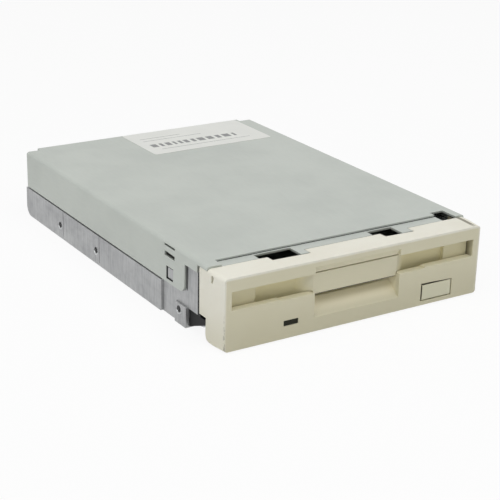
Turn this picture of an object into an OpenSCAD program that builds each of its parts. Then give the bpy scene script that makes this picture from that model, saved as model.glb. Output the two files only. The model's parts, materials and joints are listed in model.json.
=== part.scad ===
/* [Overall] */
// Width over the frame and the cover
drive_w = 101.6; // [101:0.1:106]
// Depth from the bezel's front face to the back of the cover
drive_depth = 149; // [148:0.5:160]
// Height over the top cover
drive_h = 25.4; // [25.2:0.1:28]

/* [Disk] */
// Width of the diskette that goes in
disk_w = 90; // [89:0.1:90.4]
// Thickness of the diskette
disk_t = 3.3; // [3:0.1:3.5]
// Room at each side of the diskette in its carrier
disk_gap = 0.3; // [0.2:0.05:0.4]

/* [Front bezel] */
// How far the bezel's top lies below the cover's top
bezel_drop = 0.6; // [0.4:0.1:0.8]
// Thickness of the front wall
bezel_wall = 2.6; // [2.2:0.1:2.7]
// Depth of the top edge
bezel_top_depth = 9.5; // [9:0.1:9.6]
// Depth of the side walls
bezel_side_depth = 14.2; // [13:0.1:14.2]
// Depth of the side walls near the bottom
bezel_foot_depth = 10.2; // [9.6:0.1:11]
// Height at which the side walls get shorter
bezel_foot_z = 8.3; // [7:0.1:10]
// Thickness of the top edge
bezel_beam = 2.2; // [1.6:0.1:2.4]
// Thickness of the bottom edge
bezel_floor = 1.5; // [1:0.1:1.6]
// Radius of the bezel's lower corners
bezel_round = 1.6; // [0.8:0.1:2.4]
// How much narrower each side of the front face is than the back
bezel_draft = 0.7; // [0.4:0.1:1]
// Depth over which the sides widen
bezel_draft_depth = 6.5; // [5:0.1:7]
// Width of the disk slot
slot_w = 95; // [94:0.1:96]
// Height of the slot's lower edge
slot_low_z = 13.9; // [13.6:0.1:14.2]
// Height of the slot
slot_h = 5.95; // [5.6:0.05:6.2]
// Width of the thumb notch
notch_w = 33.6; // [28:0.2:38]
// Height at which the thumb notch starts on the front face
notch_low_z = 5.2; // [4.6:0.1:6]
// Rise of the thumb notch's ramp
notch_rise = 4.4; // [4.2:0.1:6.2]
// Run of the thumb notch's ramp
notch_run = 5.8; // [5.6:0.1:8.4]
// Place of the lamp window across the front
lamp_x = -25.6; // [-30:0.1:-23]
// Height of the lamp window's middle
lamp_z = 5.4; // [5:0.1:5.8]
// Width of the lamp window
lamp_w = 5.5; // [4:0.1:6.5]
// Height of the lamp window
lamp_h = 1.9; // [1.5:0.1:2.6]

/* [Slot flap] */
// Clearance between the flap and its surroundings
flap_gap = 0.3; // [0.2:0.05:0.4]
// Thickness of the flap's ends
flap_t = 2.2; // [2:0.1:2.4]
// Depth of the flap's two pockets
flap_pocket = 1.4; // [1:0.1:1.5]
// How far the flap's middle hangs below its ends
flap_tongue = 1.4; // [0.8:0.1:1.6]
// How far the flap's middle stands in front of its ends
flap_proud = 1.7; // [1:0.1:1.8]
// Radius of the flap's pin
flap_pin_r = 0.6; // [0.4:0.05:0.7]

/* [Eject] */
// Travel of the eject button and slider
eject_travel = 5; // [4:0.1:5]
// Drop of the disk carrier
carrier_drop = 2.7; // [2.4:0.1:2.8]
// Place of the eject button across the front
button_x = 32.8; // [31:0.1:34]
// Height of the eject button's middle
button_z = 4.7; // [4.6:0.1:5]
// Width of the eject button
button_w = 12.2; // [9:0.1:13]
// Height of the eject button
button_h = 5.4; // [4:0.1:5.6]
// Gap round the eject button
button_gap = 0.3; // [0.15:0.05:0.4]
// Thickness of the slider's sheet
slider_t = 0.7; // [0.5:0.05:0.8]
// Thickness of the carrier's sheet
carrier_t = 0.8; // [0.6:0.05:0.9]
// Clear height inside the carrier
carrier_room = 4.3; // [4.2:0.05:4.5]
// Radius of the carrier's pins
carrier_pin_r = 1.2; // [1:0.05:1.4]
// Depth of the front pair of carrier pins
carrier_pin_front = 42; // [41:0.5:46]
// Distance between the front and rear carrier pins
carrier_pin_pitch = 46; // [40:0.5:47]

/* [Frame] */
// Height of the side rails
rail_h = 11; // [10.5:0.1:11.4]
// Thickness of the side rails at the screw holes
rail_w = 6; // [5:0.1:6.4]
// Thickness of the upper side walls
wall_t = 1.1; // [0.9:0.05:1.2]
// Height of the upper side walls' top edge
wall_top = 22; // [21:0.1:23]
// Thickness of the floor
floor_t = 1.4; // [1.2:0.1:1.6]
// Radius of the lower rear corners
frame_round = 4; // [2:0.1:6]
// Radius of the tapped mounting holes
mount_r = 1.25; // [1.2:0.05:1.5]
// Height of the side mounting holes
mount_z = 5; // [4.6:0.1:5.4]
// Depth of the first side mounting hole
mount_front = 27; // [26:0.1:28]
// Distance from the first to the second side hole
mount_pitch = 60; // [55:0.5:62]
// Distance from the first to the last side hole
mount_span = 90; // [88:0.5:95]
// Depth of the first bottom mounting hole
base_mount_front = 37; // [36:0.5:50]
// Distance between the bottom mounting holes along the drive
base_mount_span = 70; // [60:0.5:74]

/* [Cover] */
// Thickness of the cover's sheet
sheet = 0.8; // [0.6:0.05:0.9]
// Clearance between the cover and the frame
cover_gap = 0.1; // [0.05:0.05:0.2]
// Outside radius of the cover's bends
bend_r = 1.1; // [1:0.1:1.5]
// How far the front lip is stepped down
lip_step = 0.6; // [0.3:0.1:0.7]
// Depth at which the front lip begins
lip_back = 14; // [13:0.1:15]
// Length of the cover's down-turned rear edge
rear_lip = 5; // [3:0.1:6]
// Width of the sticker
label_w = 53; // [30:0.5:54]
// Length of the sticker
label_l = 28.4; // [20:0.2:40]

/* [Spindle motor] */
// Depth of the spindle behind the bezel's front face
spindle_y = 52; // [51:0.5:52.5]
// Radius of the spindle shaft
shaft_r = 2; // [1.5:0.05:2.2]
// Outside radius of the spindle bearing
bearing_r = 4.5; // [4:0.1:5]
// Radius of the chuck hub
hub_r = 12.5; // [11:0.1:13]
// Radius of the rotor cup
rotor_r = 23; // [21.5:0.1:24]
// Height of the rotor cup
rotor_h = 3.2; // [3:0.1:3.4]
// Wall of the rotor cup
rotor_wall = 0.9; // [0.7:0.1:1]
// Number of stator poles
poles = 12; // [6:3:12]

/* [Heads] */
// Travel of the head carriage
head_travel = 15; // [12:0.5:15]
// Radius of the outermost track
track_r = 39.5; // [38:0.5:40]
// Distance from the heads to the arm's hinge
arm_l = 27.5; // [26:0.5:29]
// Radius of the two guide rods
rod_r = 1.5; // [1:0.05:1.6]
// Radius of the lead screw
screw_r = 1.5; // [1:0.05:1.5]
// Place of the lead screw across the drive
screw_x = 18; // [17:0.1:19]
// Radius of the stepper motor
stepper_r = 7; // [6:0.1:7]
// Length of the stepper motor
stepper_l = 15; // [12:0.5:15]

/* [Boards] */
// Thickness of the circuit boards
board_t = 1.2; // [1:0.1:1.6]
// Number of pins in each row of the signal connector
signal_ways = 17; // [10:1:17]
// Distance between neighbouring signal pins
signal_pitch = 2.54; // [2.5:0.01:2.6]
// Number of power pins
power_ways = 4; // [3:1:5]
// Distance between neighbouring power pins
power_pitch = 2.5; // [2.4:0.02:2.54]
// Half the thickness of a connector pin
pin_half = 0.32; // [0.25:0.01:0.36]

/* [Hidden] */
$fn = 48;

// Clearances: between moving pieces, of a running fit, and of a fixed seat
run_gap = 0.3;
fit_gap = 0.03;
seat_gap = 0.02;
// Length by which a cutting shape reaches past what it cuts
cut = 1;

// Widths, from the outside in
half_w = drive_w / 2;
flange_in = half_w - sheet;
seam_gap = 0.5;
wall_out = flange_in - cover_gap;
wall_in = wall_out - wall_t;
slider_out = wall_in - run_gap - cover_gap;
slider_in = slider_out - slider_t;
carrier_in = disk_w / 2 + disk_gap;
carrier_out = carrier_in + carrier_t;
cheek_in = slot_w / 2;

// Heights, from the slot down to the rotor
bezel_h = drive_h - bezel_drop;
cover_under = drive_h - sheet;
slot_top_z = slot_low_z + slot_h;
carrier_rail_top = slot_low_z - 0.2;
carrier_low = carrier_rail_top - carrier_t;
carrier_under = carrier_rail_top + carrier_room;
carrier_top = carrier_under + carrier_t;
carrier_pin_z = (carrier_rail_top + carrier_under) / 2;
slider_top = carrier_low - carrier_drop - 2 * run_gap;
slider_low = slider_top - slider_t;
floor_top = slider_low - run_gap;
floor_low = floor_top - floor_t;
boss_h = 1.2;
motor_board_top = floor_low - boss_h;
motor_board_low = motor_board_top - board_t;
rotor_top = motor_board_low - run_gap - 0.1;
rotor_low = rotor_top - rotor_h;
main_board_low = 1.6;
main_board_top = main_board_low + board_t;
media_z = carrier_rail_top - carrier_drop + disk_t / 2;

// Depths of the frame, counted from the bezel's front face
wall_front = bezel_side_depth + seam_gap;
rail_front = mount_front - 4.5;
frame_rear = drive_depth - sheet - 0.2;
floor_front = 14.6;
floor_rear = drive_depth - 13;
cover_front = bezel_top_depth + cover_gap;
side_top_z = cover_under - bezel_drop;

// Flap: its faces and its pin
notch_x = -0.2;
flap_front = bezel_wall + 2 * flap_gap;
flap_back = flap_front + flap_t;
flap_w = slot_w - 2 * flap_gap;
flap_low = slot_low_z - 0.15;
flap_barrel_r = 1.2;
flap_pivot_y = bezel_wall + flap_gap + flap_barrel_r + 0.1;
flap_pivot_z = slot_top_z + 0.55;
flap_ramp = 5;
flap_skirt = 1.55;
flap_top = slot_top_z - run_gap;
flap_spring_r = flap_pin_r + 0.55;
flap_mid = [notch_x - notch_w / 2 + run_gap, notch_x + notch_w / 2 - run_gap];
flap_spring_x = [38, 43];
flap_pin_end = cheek_in + 1.6;

// Heads and carriage
head_y = spindle_y + track_r;
hinge_y = head_y + arm_l;
nose_l = 7.5;
body_front = head_y + nose_l;
body_rear = hinge_y + 3;
opening_front = body_front - head_travel - 2 * run_gap;
lug_l = 3.4;
rod_front = opening_front - lug_l + 0.6;
rod_bar_front = body_rear + 3;
rod_bar_rear = rod_bar_front + 4;
rod_x = [-9.5, 7.5];
rod_z = floor_low - 0.4;
rod_lug_half = rod_r + 1.2;
screw_z = floor_low + 1;
bracket_y = body_rear - 5;
bracket_t = 1;
stepper_front = bracket_y + bracket_t;
carriage_x = [-13, rod_x[1] + rod_lug_half];
opening_x = [-15, screw_x + stepper_r + 2.5];
upper_head_z = carrier_under - 2 * run_gap;
arm_low = upper_head_z + 0.6;
arm_t = 1.2;
hinge_z = upper_head_z - 0.9;
hinge_pin_r = 1;
arm_spring_r = hinge_pin_r + 0.8;
lower_head_z = media_z - 0.1;
nose_low = floor_top + run_gap;
nose_half = 4.2;
bush_r = 1.7;

// Slider, and the springs behind it
spring_x = (wall_in + carrier_in) / 2 - 4;
spring_r = 1.6;
spring_z = slider_low + spring_r + 0.3;
disk_back = 46.5;
disk_rear = spindle_y + disk_back;
slider_rear = disk_rear + eject_travel + 1.5;
spring_rear = slider_rear + 15;

// Shutter lever
lever_x = -33;
lever_back = 53;
lever_y = spindle_y + lever_back;
lever_half = 2;
lever_boss = 2;
lever_tip_r = 1.2;
lever_tip_h = 0.6;
lever_t = 0.8;
lever_low = carrier_under - carrier_drop - run_gap - lever_t;
lever_post_r = 2;
lever_l = 20;
lever_angle = -50;

// Disk switches, on the motor board
switch_y = 19.2;
switch_half = 2.5;
switch_x = [-38.5, -31, 38.5];
switch_top = slider_low + 0.9;
plunger_r = 1.1;
plunger_top = carrier_low - 0.5;
plunger_l = 3.8;

// Boards
motor_board_x = 41.2;
motor_board_front = 16.5;
motor_board_rear = opening_front - lug_l - 0.5;
motor_hole_x = 38;
motor_holes = [motor_board_front + 9, motor_board_rear - 4];
main_board_side = 44;
main_board_inner = -17;
main_board_front = motor_board_rear + 8;
main_board_rear = frame_rear - 1.2;
connector_strip = floor_rear - 0.5;
main_posts = [[-40, main_board_front + 5], [-40, floor_rear - 4], [40, floor_rear - 4]];
signal_x = 8;
signal_w = signal_ways * signal_pitch + 7;
signal_h = 8.8;
connector_front = floor_rear + 2;
connector_wall = 1;
power_x = -32;
power_w = power_ways * power_pitch + 2.4;
power_h = 7;
post_r = 2.2;
pilot_r = 0.8;
screw_head_r = 1.9;
screw_head_h = 0.8;

// Frame sides: front plate, cover clips, bezel clips and rail surface
plate_low_z = floor_low - 0.5;
nub_y = [31.2, 34.9];
nub_z = [13.2, 16.7];
nub_proud = 0.6;
clip_y = [18.2, 20.6];
clip_z = [16, 19];
clip_skin = 0.4;
rail_recess = sheet + cover_gap;
rail_step_y = 39;
line_d = 0.15;
line_w = 0.3;
line_ahead = 2.8;
line_low = 1;
base_mount_l = 4;
pin_slot_half = carrier_pin_r + run_gap / 2;
bracket_holes = [[opening_x[1] + 4.5, bracket_y - 8], [opening_x[1] + 4.5, bracket_y - 2.5]];
retainer_hole = [(rod_x[0] + rod_x[1]) / 2, rod_z];
foot_hole = [half_w - 4.8, 18];
foot_low = 2.6;
foot_toe = 0.6;
foot_nose = 5.2;
foot_front = bezel_foot_depth + 0.7;
foot_w = 8;
foot_gap = 0.2;

// Cover: flange, lip, windows, louvre and sticker
flange_low = rail_h + seam_gap + 0.15;
slit_w = 0.8;
flange_front = 23.5;
band_z = wall_top - 0.5;
tongue_round = 3;
lip_x = [-45.5, 44];
lip_windows = [[-32, -18.4], [12, 21.9]];
lip_tabs = [[-18.4, -15.2], [21.9, 26.2]];
tab_front = 6.4;
louvre_y = [29.8, 36.6];
louvre_z = [20.5, 22];
rear_corner = 2.5;
rear_corner_x = 45.2;
rear_edge_x = [-44, 45];
label_x = -9;
label_t = 0.08;
label_r = 1;

// Bezel: corners, notches and ramp
bezel_top_r = 1.5;
bezel_edge = 0.3;
bezel_notches = [[-29, -15], [15, 26.4]];
foot_round = 3.5;
ramp_t = 1.5;
button_slack = 0.2;
side_slot = [1.2, 2.2, 2.4];
side_slot_drop = 1.2;
scallop = 1.4;
slot_step = 0.4;
step_x = [-30, 27];
lens_set = 0.3;
led_back = 8.5;
flap_pocket_x = 37.3;

// Eject parts: button, slider, cams, carrier and lever tip
button_cap = 4;
tab_half = 3;
tab_y = 13;
slider_front = switch_y + switch_half + eject_travel + 2 * run_gap;
slider_bridge = 8;
slider_strip = 38;
cam_over = 0.4;
cam_slope = carrier_drop / eject_travel;
carrier_front = flap_pivot_y + 9;
carrier_rear = disk_rear - 0.5;
carrier_lip = carrier_in - 3.8;
arm_window = 12;
lever_tip = lever_l * [cos(lever_angle), sin(lever_angle)];

// Spindle, rotor and stator
hub_low = floor_top + 2 * run_gap;
hub_top = hub_low + 1.2;
magnet_in = rotor_r - rotor_wall - 1.2;
stator_low = rotor_low + 2.1;
stator_t = 0.8;
tooth_half = 1.1;
coil_half = 2.1;
coil_over = 0.5;

// Heads, lead screw and carriage details
shaft_end_r = 1;
journal_r = 0.8;
bracket_top = screw_z + stepper_r - 1;
flag_y = [hinge_y - 6, hinge_y - 3];
flag_z = floor_top + 1.7;
flag_t = 0.6;
nose_top = floor_top + 2;
follower_y = body_front + 6;
follower_top = screw_z + screw_r + 0.85;
ear_in = 7;
barrel_half = 4;
arm_half = 6.4;
ribbon_y = body_front + 8;
ribbon_z = rod_z - 1.8;
ribbon_x = main_board_inner - 2;
connector_rear = frame_rear - 0.4;

// Counts from the front face to the middle of the drive
module place() translate([0, -drive_depth / 2, 0]) children();

// Box between two corners
module slab(x0, x1, y0, y1, z0, z1) translate([x0, y0, z0]) cube([x1 - x0, y1 - y0, z1 - z0]);

// The same shape on the left and on the right
module both_sides() {
    children();
    mirror([1, 0, 0]) children();
}

// Round bars along the three axes
module bar_x(y, z, r, x0, x1) translate([x0, y, z]) rotate([0, 90, 0]) cylinder(r = r, h = x1 - x0);
module bar_y(x, z, r, y0, y1) translate([x, y0, z]) rotate([-90, 0, 0]) cylinder(r = r, h = y1 - y0);
module bar_z(x, y, r, z0, z1) translate([x, y, z0]) cylinder(r = r, h = z1 - z0);

// Front view outline swept along the depth, and side view outline swept across the width
module front_sweep(y0, y1) translate([0, y1, 0]) rotate([90, 0, 0]) linear_extrude(y1 - y0) children();
module side_sweep(x0, x1) translate([x0, 0, 0]) rotate([90, 0, 90]) linear_extrude(x1 - x0) children();

// Rectangle with one radius at the two lower corners and one at the two upper corners
module soft_rect(half, z0, z1, low_r, top_r) {
    translate([-half, z0 + low_r]) square([2 * half, z1 - z0 - low_r - top_r]);
    translate([low_r - half, z0]) square([2 * (half - low_r), low_r + top_r]);
    translate([top_r - half, z1 - low_r - top_r]) square([2 * (half - top_r), low_r + top_r]);
    for (side = [-1, 1]) {
        translate([side * (half - low_r), z0 + low_r]) circle(low_r);
        translate([side * (half - top_r), z1 - top_r]) circle(top_r);
    }
}

// Slot with round ends from the first to the second point, in a flat outline
module round_slot(a, b, r) {
    turn = atan2(b[1] - a[1], b[0] - a[0]);
    translate(a) circle(r);
    translate(b) circle(r);
    translate(a) rotate(turn) translate([0, -r]) square([norm(b - a), 2 * r]);
}

// Pan-head screw pointing up, with its head below the given height
module screw_up(x, y, z, l) {
    bar_z(x, y, screw_head_r, z - screw_head_h, z);
    bar_z(x, y, pilot_r - seat_gap, z - screw_head_h, z + l);
}

// Die-cast frame: rails, side walls and floor, with its bosses and lugs
module main_frame() color("darkgray") place() difference() {
    union() {
        both_sides() {
            slab(half_w - rail_w, half_w, rail_front, frame_rear, 0, floor_top);
            slab(wall_in, half_w, rail_front, frame_rear, 0, rail_h);
            slab(wall_in, wall_out, wall_front, frame_rear, plate_low_z, wall_top);
            slab(wall_in, wall_out + nub_proud, nub_y[0], nub_y[1], nub_z[0], nub_z[1]);
            slab(spring_x - 3, wall_in, spring_rear, spring_rear + 3, floor_low, spring_z + spring_r);
            bar_y(spring_x, spring_z, spring_r - 0.8, slider_rear + 3, spring_rear + 1);
            for (y = motor_holes) bar_z(motor_hole_x, y, post_r, motor_board_top,
                floor_low + floor_t / 2);
        }
        slab(-wall_in, wall_in, floor_front, floor_rear, floor_low, floor_top);
        for (p = main_posts) bar_z(p[0], p[1], post_r, main_board_top, floor_low + floor_t / 2);
        for (x = rod_x)
            slab(x - rod_lug_half, x + rod_lug_half, opening_front - lug_l, opening_front,
                rod_z - rod_lug_half,
                floor_top);
        slab(screw_x - bush_r - 1, screw_x + bush_r + 1, opening_front - lug_l, opening_front,
            screw_z - bush_r - 1, screw_z + bush_r + 0.6);
        slab(opening_x[0] - 1, rod_x[1] + rod_lug_half, rod_bar_front, rod_bar_rear,
            rod_z - rod_lug_half, floor_top);
    }
    frame_side_cuts();
    frame_floor_cuts();
}

// Mounting holes, guide slots, clip windows and rounded corners of both sides
module frame_side_cuts() both_sides() {
    for (y = [mount_front, mount_front + mount_pitch, mount_front + mount_span])
        bar_x(y, mount_z, mount_r, half_w - rail_w - cut, half_w + cut);
    for (y = [base_mount_front, base_mount_front + base_mount_span])
        bar_z(half_w - rail_w / 2, y, mount_r, -cut, base_mount_l);
    for (y = [carrier_pin_front, carrier_pin_front + carrier_pin_pitch])
        slab(wall_in - cut, wall_out + cut, y - pin_slot_half, y + pin_slot_half,
            carrier_pin_z - carrier_drop - pin_slot_half - run_gap, wall_top + cut);
    slab(wall_in - cut, wall_out - clip_skin, clip_y[0] - run_gap, clip_y[1] + run_gap,
        clip_z[0] - run_gap, clip_z[1] + run_gap);
    for (y = [mount_front + mount_pitch, mount_front + mount_span])
        slab(half_w - line_d, half_w + cut, y - line_ahead, y - line_ahead + line_w, line_low, rail_h + cut);
    slab(half_w - rail_recess, half_w + cut, rail_front + 7.2, rail_step_y, -cut, rail_h + cut);
    slab(wall_in - cut, wall_out + cut, flange_front - slit_w, flange_front, flange_low + 1, band_z);
    slab(half_w - rail_recess, half_w + cut, rail_front - cut, rail_front + 7.2 + cut, mount_z + 2,
        rail_h + cut);
    side_sweep(-cut, half_w + cut) difference() {
        translate([frame_rear - frame_round, -cut]) square([frame_round + cut, frame_round + cut]);
        translate([frame_rear - frame_round, frame_round]) circle(frame_round);
    }
}

// Openings for the spindle bearing, carriage, stepper, disk switches, guide rods and screw bearing
module frame_floor_cuts() {
    bar_z(0, spindle_y, bearing_r + seat_gap, floor_low - cut, floor_top + cut);
    difference() {
        slab(opening_x[0], opening_x[1], opening_front, floor_rear - 2.5, -cut, floor_top + cut);
        slab(opening_x[0] - cut, rod_x[1] + rod_lug_half, rod_bar_front, rod_bar_rear, -cut,
            floor_top + 2 * cut);
    }
    slab(rod_x[1] + rod_lug_half, opening_x[1], rod_bar_front - cut, rod_bar_rear + cut, -cut,
        floor_top + cut);
    for (x = switch_x)
        slab(x - switch_half - run_gap, x + switch_half + run_gap, switch_y - switch_half - run_gap,
            switch_y + switch_half + run_gap, floor_low - cut, floor_top + cut);
    for (x = rod_x) bar_y(x, rod_z, rod_r + seat_gap, rod_front - seat_gap, rod_bar_rear + cut);
    bar_y(screw_x, screw_z, bush_r + seat_gap, opening_front - lug_l - cut, opening_front + cut);
    for (p = main_posts) bar_z(p[0], p[1], pilot_r, main_board_top - cut, floor_low);
    both_sides() for (y = motor_holes) bar_z(motor_hole_x, y, pilot_r, motor_board_top - cut,
        floor_low + 0.4);
    bar_z(lever_x, lever_y, lever_post_r - 0.6 + seat_gap, floor_low - cut, floor_top + cut);
    for (p = bracket_holes) bar_z(p[0], p[1], pilot_r, floor_low - cut, floor_top + cut);
    bar_y(retainer_hole[0], retainer_hole[1], pilot_r, rod_bar_front - cut, rod_bar_rear + cut);
    both_sides() bar_z(foot_hole[0], foot_hole[1], pilot_r, floor_low - cut, floor_top + cut);
}

// Plated sheet cover: top, side flanges, stepped front lip and rear edge
module top_cover() color("lightgray") place() difference() {
    union() {
        front_sweep(cover_front, drive_depth) difference() {
            soft_rect(half_w, flange_low, drive_h, 0.01, bend_r);
            soft_rect(flange_in, flange_low - cut, cover_under, 0.01, bend_r - sheet);
        }
        slab(lip_x[0], lip_x[1], cover_front, lip_back + sheet, cover_under - lip_step,
            drive_h - lip_step);
        slab(lip_x[0], lip_x[1], lip_back, lip_back + sheet, cover_under - lip_step, drive_h);
        for (tab = lip_tabs) slab(tab[0], tab[1], tab_front, cover_front + cut, cover_under - lip_step,
            drive_h - lip_step);
        slab(rear_edge_x[0], rear_edge_x[1], drive_depth - sheet, drive_depth, drive_h - rear_lip,
            cover_under + 0.2);
    }
    slab(lip_x[0], lip_x[1], cover_front - cut, lip_back, drive_h - lip_step, drive_h + cut);
    for (w = lip_windows) slab(w[0], w[1], tab_front - cut, lip_back - 1, cover_under - 2, drive_h + cut);
    slab(lip_x[1] - 2.5, lip_x[1] + 3, cover_front - cut, lip_back + 2.5, cover_under - 2, drive_h + cut);
    both_sides() {
        slab(flange_in - cut, half_w + cut, cover_front - cut, flange_front - 8, flange_low - cut,
            side_top_z + 0.1);
        slab(flange_in - cut, half_w + cut, cover_front - cut, flange_front, flange_low - cut, band_z);
        slab(flange_in - cut, half_w + cut, nub_y[0] - 0.4, nub_y[1] + 0.4, nub_z[0] - 0.4,
            nub_z[1] + 0.4);
        slab(flange_in - cut, half_w + cut, louvre_y[0], louvre_y[1], louvre_z[0], louvre_z[1]);
        slab(flange_in - cut, half_w + cut, louvre_y[0], louvre_y[1], cover_under - 0.7, cover_under);
        slab(rear_corner_x, half_w + cut, drive_depth - rear_corner, drive_depth + cut,
            flange_low - cut, drive_h + cut);
        side_sweep(flange_in - cut, half_w + cut) difference() {
            translate([flange_front - cut, flange_low - cut]) square([tongue_round + cut,
                tongue_round + cut]);
            translate([flange_front + tongue_round, flange_low + tongue_round]) circle(tongue_round);
        }
    }
}

// White sticker on the cover
module rating_label() color("white") place() translate([label_x, drive_depth - label_l - 0.4, drive_h])
    linear_extrude(label_t) translate([label_w / 2, 0]) soft_rect(label_w / 2, 0, label_l, label_r,
        label_r);

// Outline of the bezel, drawn in at the sides, top and bottom
module bezel_outline(side, low)
    soft_rect(half_w - side, low, bezel_h - low, bezel_round - low, bezel_top_r - low);

// Moulded front bezel
module front_bezel() color("antiquewhite") place() difference() {
    union() {
        difference() {
            union() {
                hull() {
                    front_sweep(0, 0.02) bezel_outline(bezel_draft, bezel_edge);
                    front_sweep(bezel_draft_depth, bezel_draft_depth + 0.02) bezel_outline(0, 0);
                }
                front_sweep(bezel_draft_depth, bezel_side_depth) bezel_outline(0, 0);
            }
            slab(-cheek_in, cheek_in, bezel_wall, bezel_side_depth + cut, bezel_floor,
                bezel_h - bezel_beam);
            slab(-cheek_in, cheek_in, bezel_top_depth, bezel_side_depth + cut, -cut, drive_h);
            slab(-half_w - cut, half_w + cut, bezel_top_depth, bezel_side_depth + cut, side_top_z,
                drive_h);
            bezel_foot_cut();
        }
        side_sweep(notch_x - notch_w / 2 - ramp_t, notch_x + notch_w / 2 + ramp_t)
            polygon([[1, notch_low_z - ramp_t], [1, slot_low_z - 1], [bezel_wall, slot_low_z - 1.5],
                [notch_run + ramp_t, notch_low_z + notch_rise], [notch_run + ramp_t,
                    notch_low_z + notch_rise - ramp_t],
                [bezel_wall, notch_low_z - ramp_t]]);
        both_sides() {
            slab(cheek_in, wall_in - run_gap, bezel_top_depth - cut, clip_y[1], clip_z[0], clip_z[1]);
            slab(cheek_in, wall_out - clip_skin - run_gap, clip_y[0], clip_y[1], clip_z[0], clip_z[1]);
        }
    }
    bezel_front_cuts();
    bar_x(flap_pivot_y, flap_pivot_z, flap_pin_r + seat_gap, -flap_pin_end - seat_gap,
        flap_pin_end + seat_gap);
    for (x = bezel_notches) slab(x[0], x[1], tab_front - run_gap, bezel_top_depth + cut,
        bezel_h - bezel_beam - cut, drive_h);
    both_sides() slab(half_w - side_slot[1], half_w + cut, bezel_draft_depth - side_slot[0] / 2,
        bezel_draft_depth + side_slot[0] / 2, bezel_h - side_slot_drop - side_slot[2],
        bezel_h - side_slot_drop);
}

// Shortens the side walls near the bottom and rounds their lower rear corner
module bezel_foot_cut() side_sweep(-half_w - cut, half_w + cut) {
    translate([bezel_foot_depth, -cut]) square([bezel_side_depth, bezel_foot_z + cut]);
    difference() {
        translate([bezel_foot_depth - foot_round, -cut]) square([foot_round + cut, foot_round + cut]);
        translate([bezel_foot_depth - foot_round, foot_round]) circle(foot_round);
    }
}

// Slot, thumb notch, scallop, lamp window and button hole in the front wall
module bezel_front_cuts() {
    slab(-slot_w / 2, slot_w / 2, -cut, bezel_wall + cut, slot_low_z, slot_top_z);
    side_sweep(notch_x - notch_w / 2, notch_x + notch_w / 2)
        polygon([[-cut, notch_low_z - cut * notch_rise / notch_run], [notch_run,
            notch_low_z + notch_rise],
            [notch_run + 2 * ramp_t, notch_low_z + notch_rise], [notch_run + 2 * ramp_t, slot_top_z],
                [-cut, slot_top_z]]);
    side_sweep(notch_x - notch_w / 2, notch_x + notch_w / 2)
        polygon([[-cut, bezel_h - 2.5], [0, bezel_h - 2.5], [scallop, slot_top_z + 0.7], [scallop,
            slot_top_z - cut],
            [-cut, slot_top_z - cut]]);
    slab(step_x[0], step_x[1], -cut, bezel_wall + cut, slot_low_z - slot_step, slot_low_z + cut);
    slab(lamp_x - lamp_w / 2, lamp_x + lamp_w / 2, -cut, bezel_wall + cut, lamp_z - lamp_h / 2,
        lamp_z + lamp_h / 2);
    slab(button_x - button_w / 2 - button_gap - button_slack, button_x + button_w / 2 + button_gap, -cut,
        bezel_wall + cut,
        button_z - button_h / 2 - button_gap, button_z + button_h / 2 + button_gap + button_slack);
}

// Dark window lens with a flange behind the front wall
module led_lens() color("darkolivegreen") place() {
    slab(lamp_x - lamp_w / 2 + seat_gap, lamp_x + lamp_w / 2 - seat_gap, lens_set, bezel_wall + 0.6,
        lamp_z - lamp_h / 2 + seat_gap, lamp_z + lamp_h / 2 - seat_gap);
    slab(lamp_x - lamp_w / 2 - 0.6, lamp_x + lamp_w / 2 + 0.6, bezel_wall, bezel_wall + 0.6,
        lamp_z - lamp_h / 2 - 0.6,
        lamp_z + lamp_h / 2 + 0.6);
}

// Lamp behind the lens, with its two leads on the motor board
module led() color("yellowgreen") place() {
    bar_y(lamp_x, lamp_z, 1.5, bezel_wall + 0.9, led_back);
    for (side = [-1, 1]) {
        slab(lamp_x + side * 1.2 - 0.25, lamp_x + side * 1.2 + 0.25, led_back - 0.6,
            motor_board_front + 2,
            motor_board_top, motor_board_top + 0.5);
    }
}

// Dark moulded feet under the floor, behind the bezel
module front_feet() color("black") place() both_sides() difference() {
    union() {
        side_sweep(half_w - foot_w, wall_out - run_gap) polygon([
            [foot_front, plate_low_z - foot_gap], [foot_front, foot_nose],
            [rail_front - foot_gap, foot_toe], [rail_front - foot_gap, plate_low_z - foot_gap]]);
        bar_z(foot_hole[0], foot_hole[1], post_r, foot_low, floor_low);
    }
    bar_z(foot_hole[0], foot_hole[1], screw_head_r + run_gap, -cut, foot_low);
    bar_z(foot_hole[0], foot_hole[1], pilot_r, foot_low - cut, floor_low + cut);
}

// Wire that the flap turns on
module flap_pin() color("silver") place()
    bar_x(flap_pivot_y, flap_pivot_z, flap_pin_r, -flap_pin_end, flap_pin_end);

// Spring round the flap's pin
module flap_spring() color("silver") place() difference() {
    bar_x(flap_pivot_y, flap_pivot_z, flap_spring_r, flap_spring_x[0] + run_gap,
        flap_spring_x[1] - run_gap);
    bar_x(flap_pivot_y, flap_pivot_z, flap_pin_r + 0.1, flap_spring_x[0], flap_spring_x[1]);
}

// Plan of the flap: ends, pockets, soft ramps and the proud middle
module flap_plan() {
    end = flap_w / 2;
    pocket_y = flap_front + flap_pocket;
    mid_y = flap_front - flap_proud;
    polygon([[-end, flap_front], [-flap_pocket_x, flap_front], [-flap_pocket_x, pocket_y],
        [flap_mid[0] - flap_ramp, pocket_y], [flap_mid[0], mid_y], [flap_mid[1], mid_y],
        [flap_mid[1] + flap_ramp, pocket_y], [flap_pocket_x, pocket_y], [flap_pocket_x, flap_front],
        [end, flap_front], [end, flap_back], [-end, flap_back]]);
}

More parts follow.
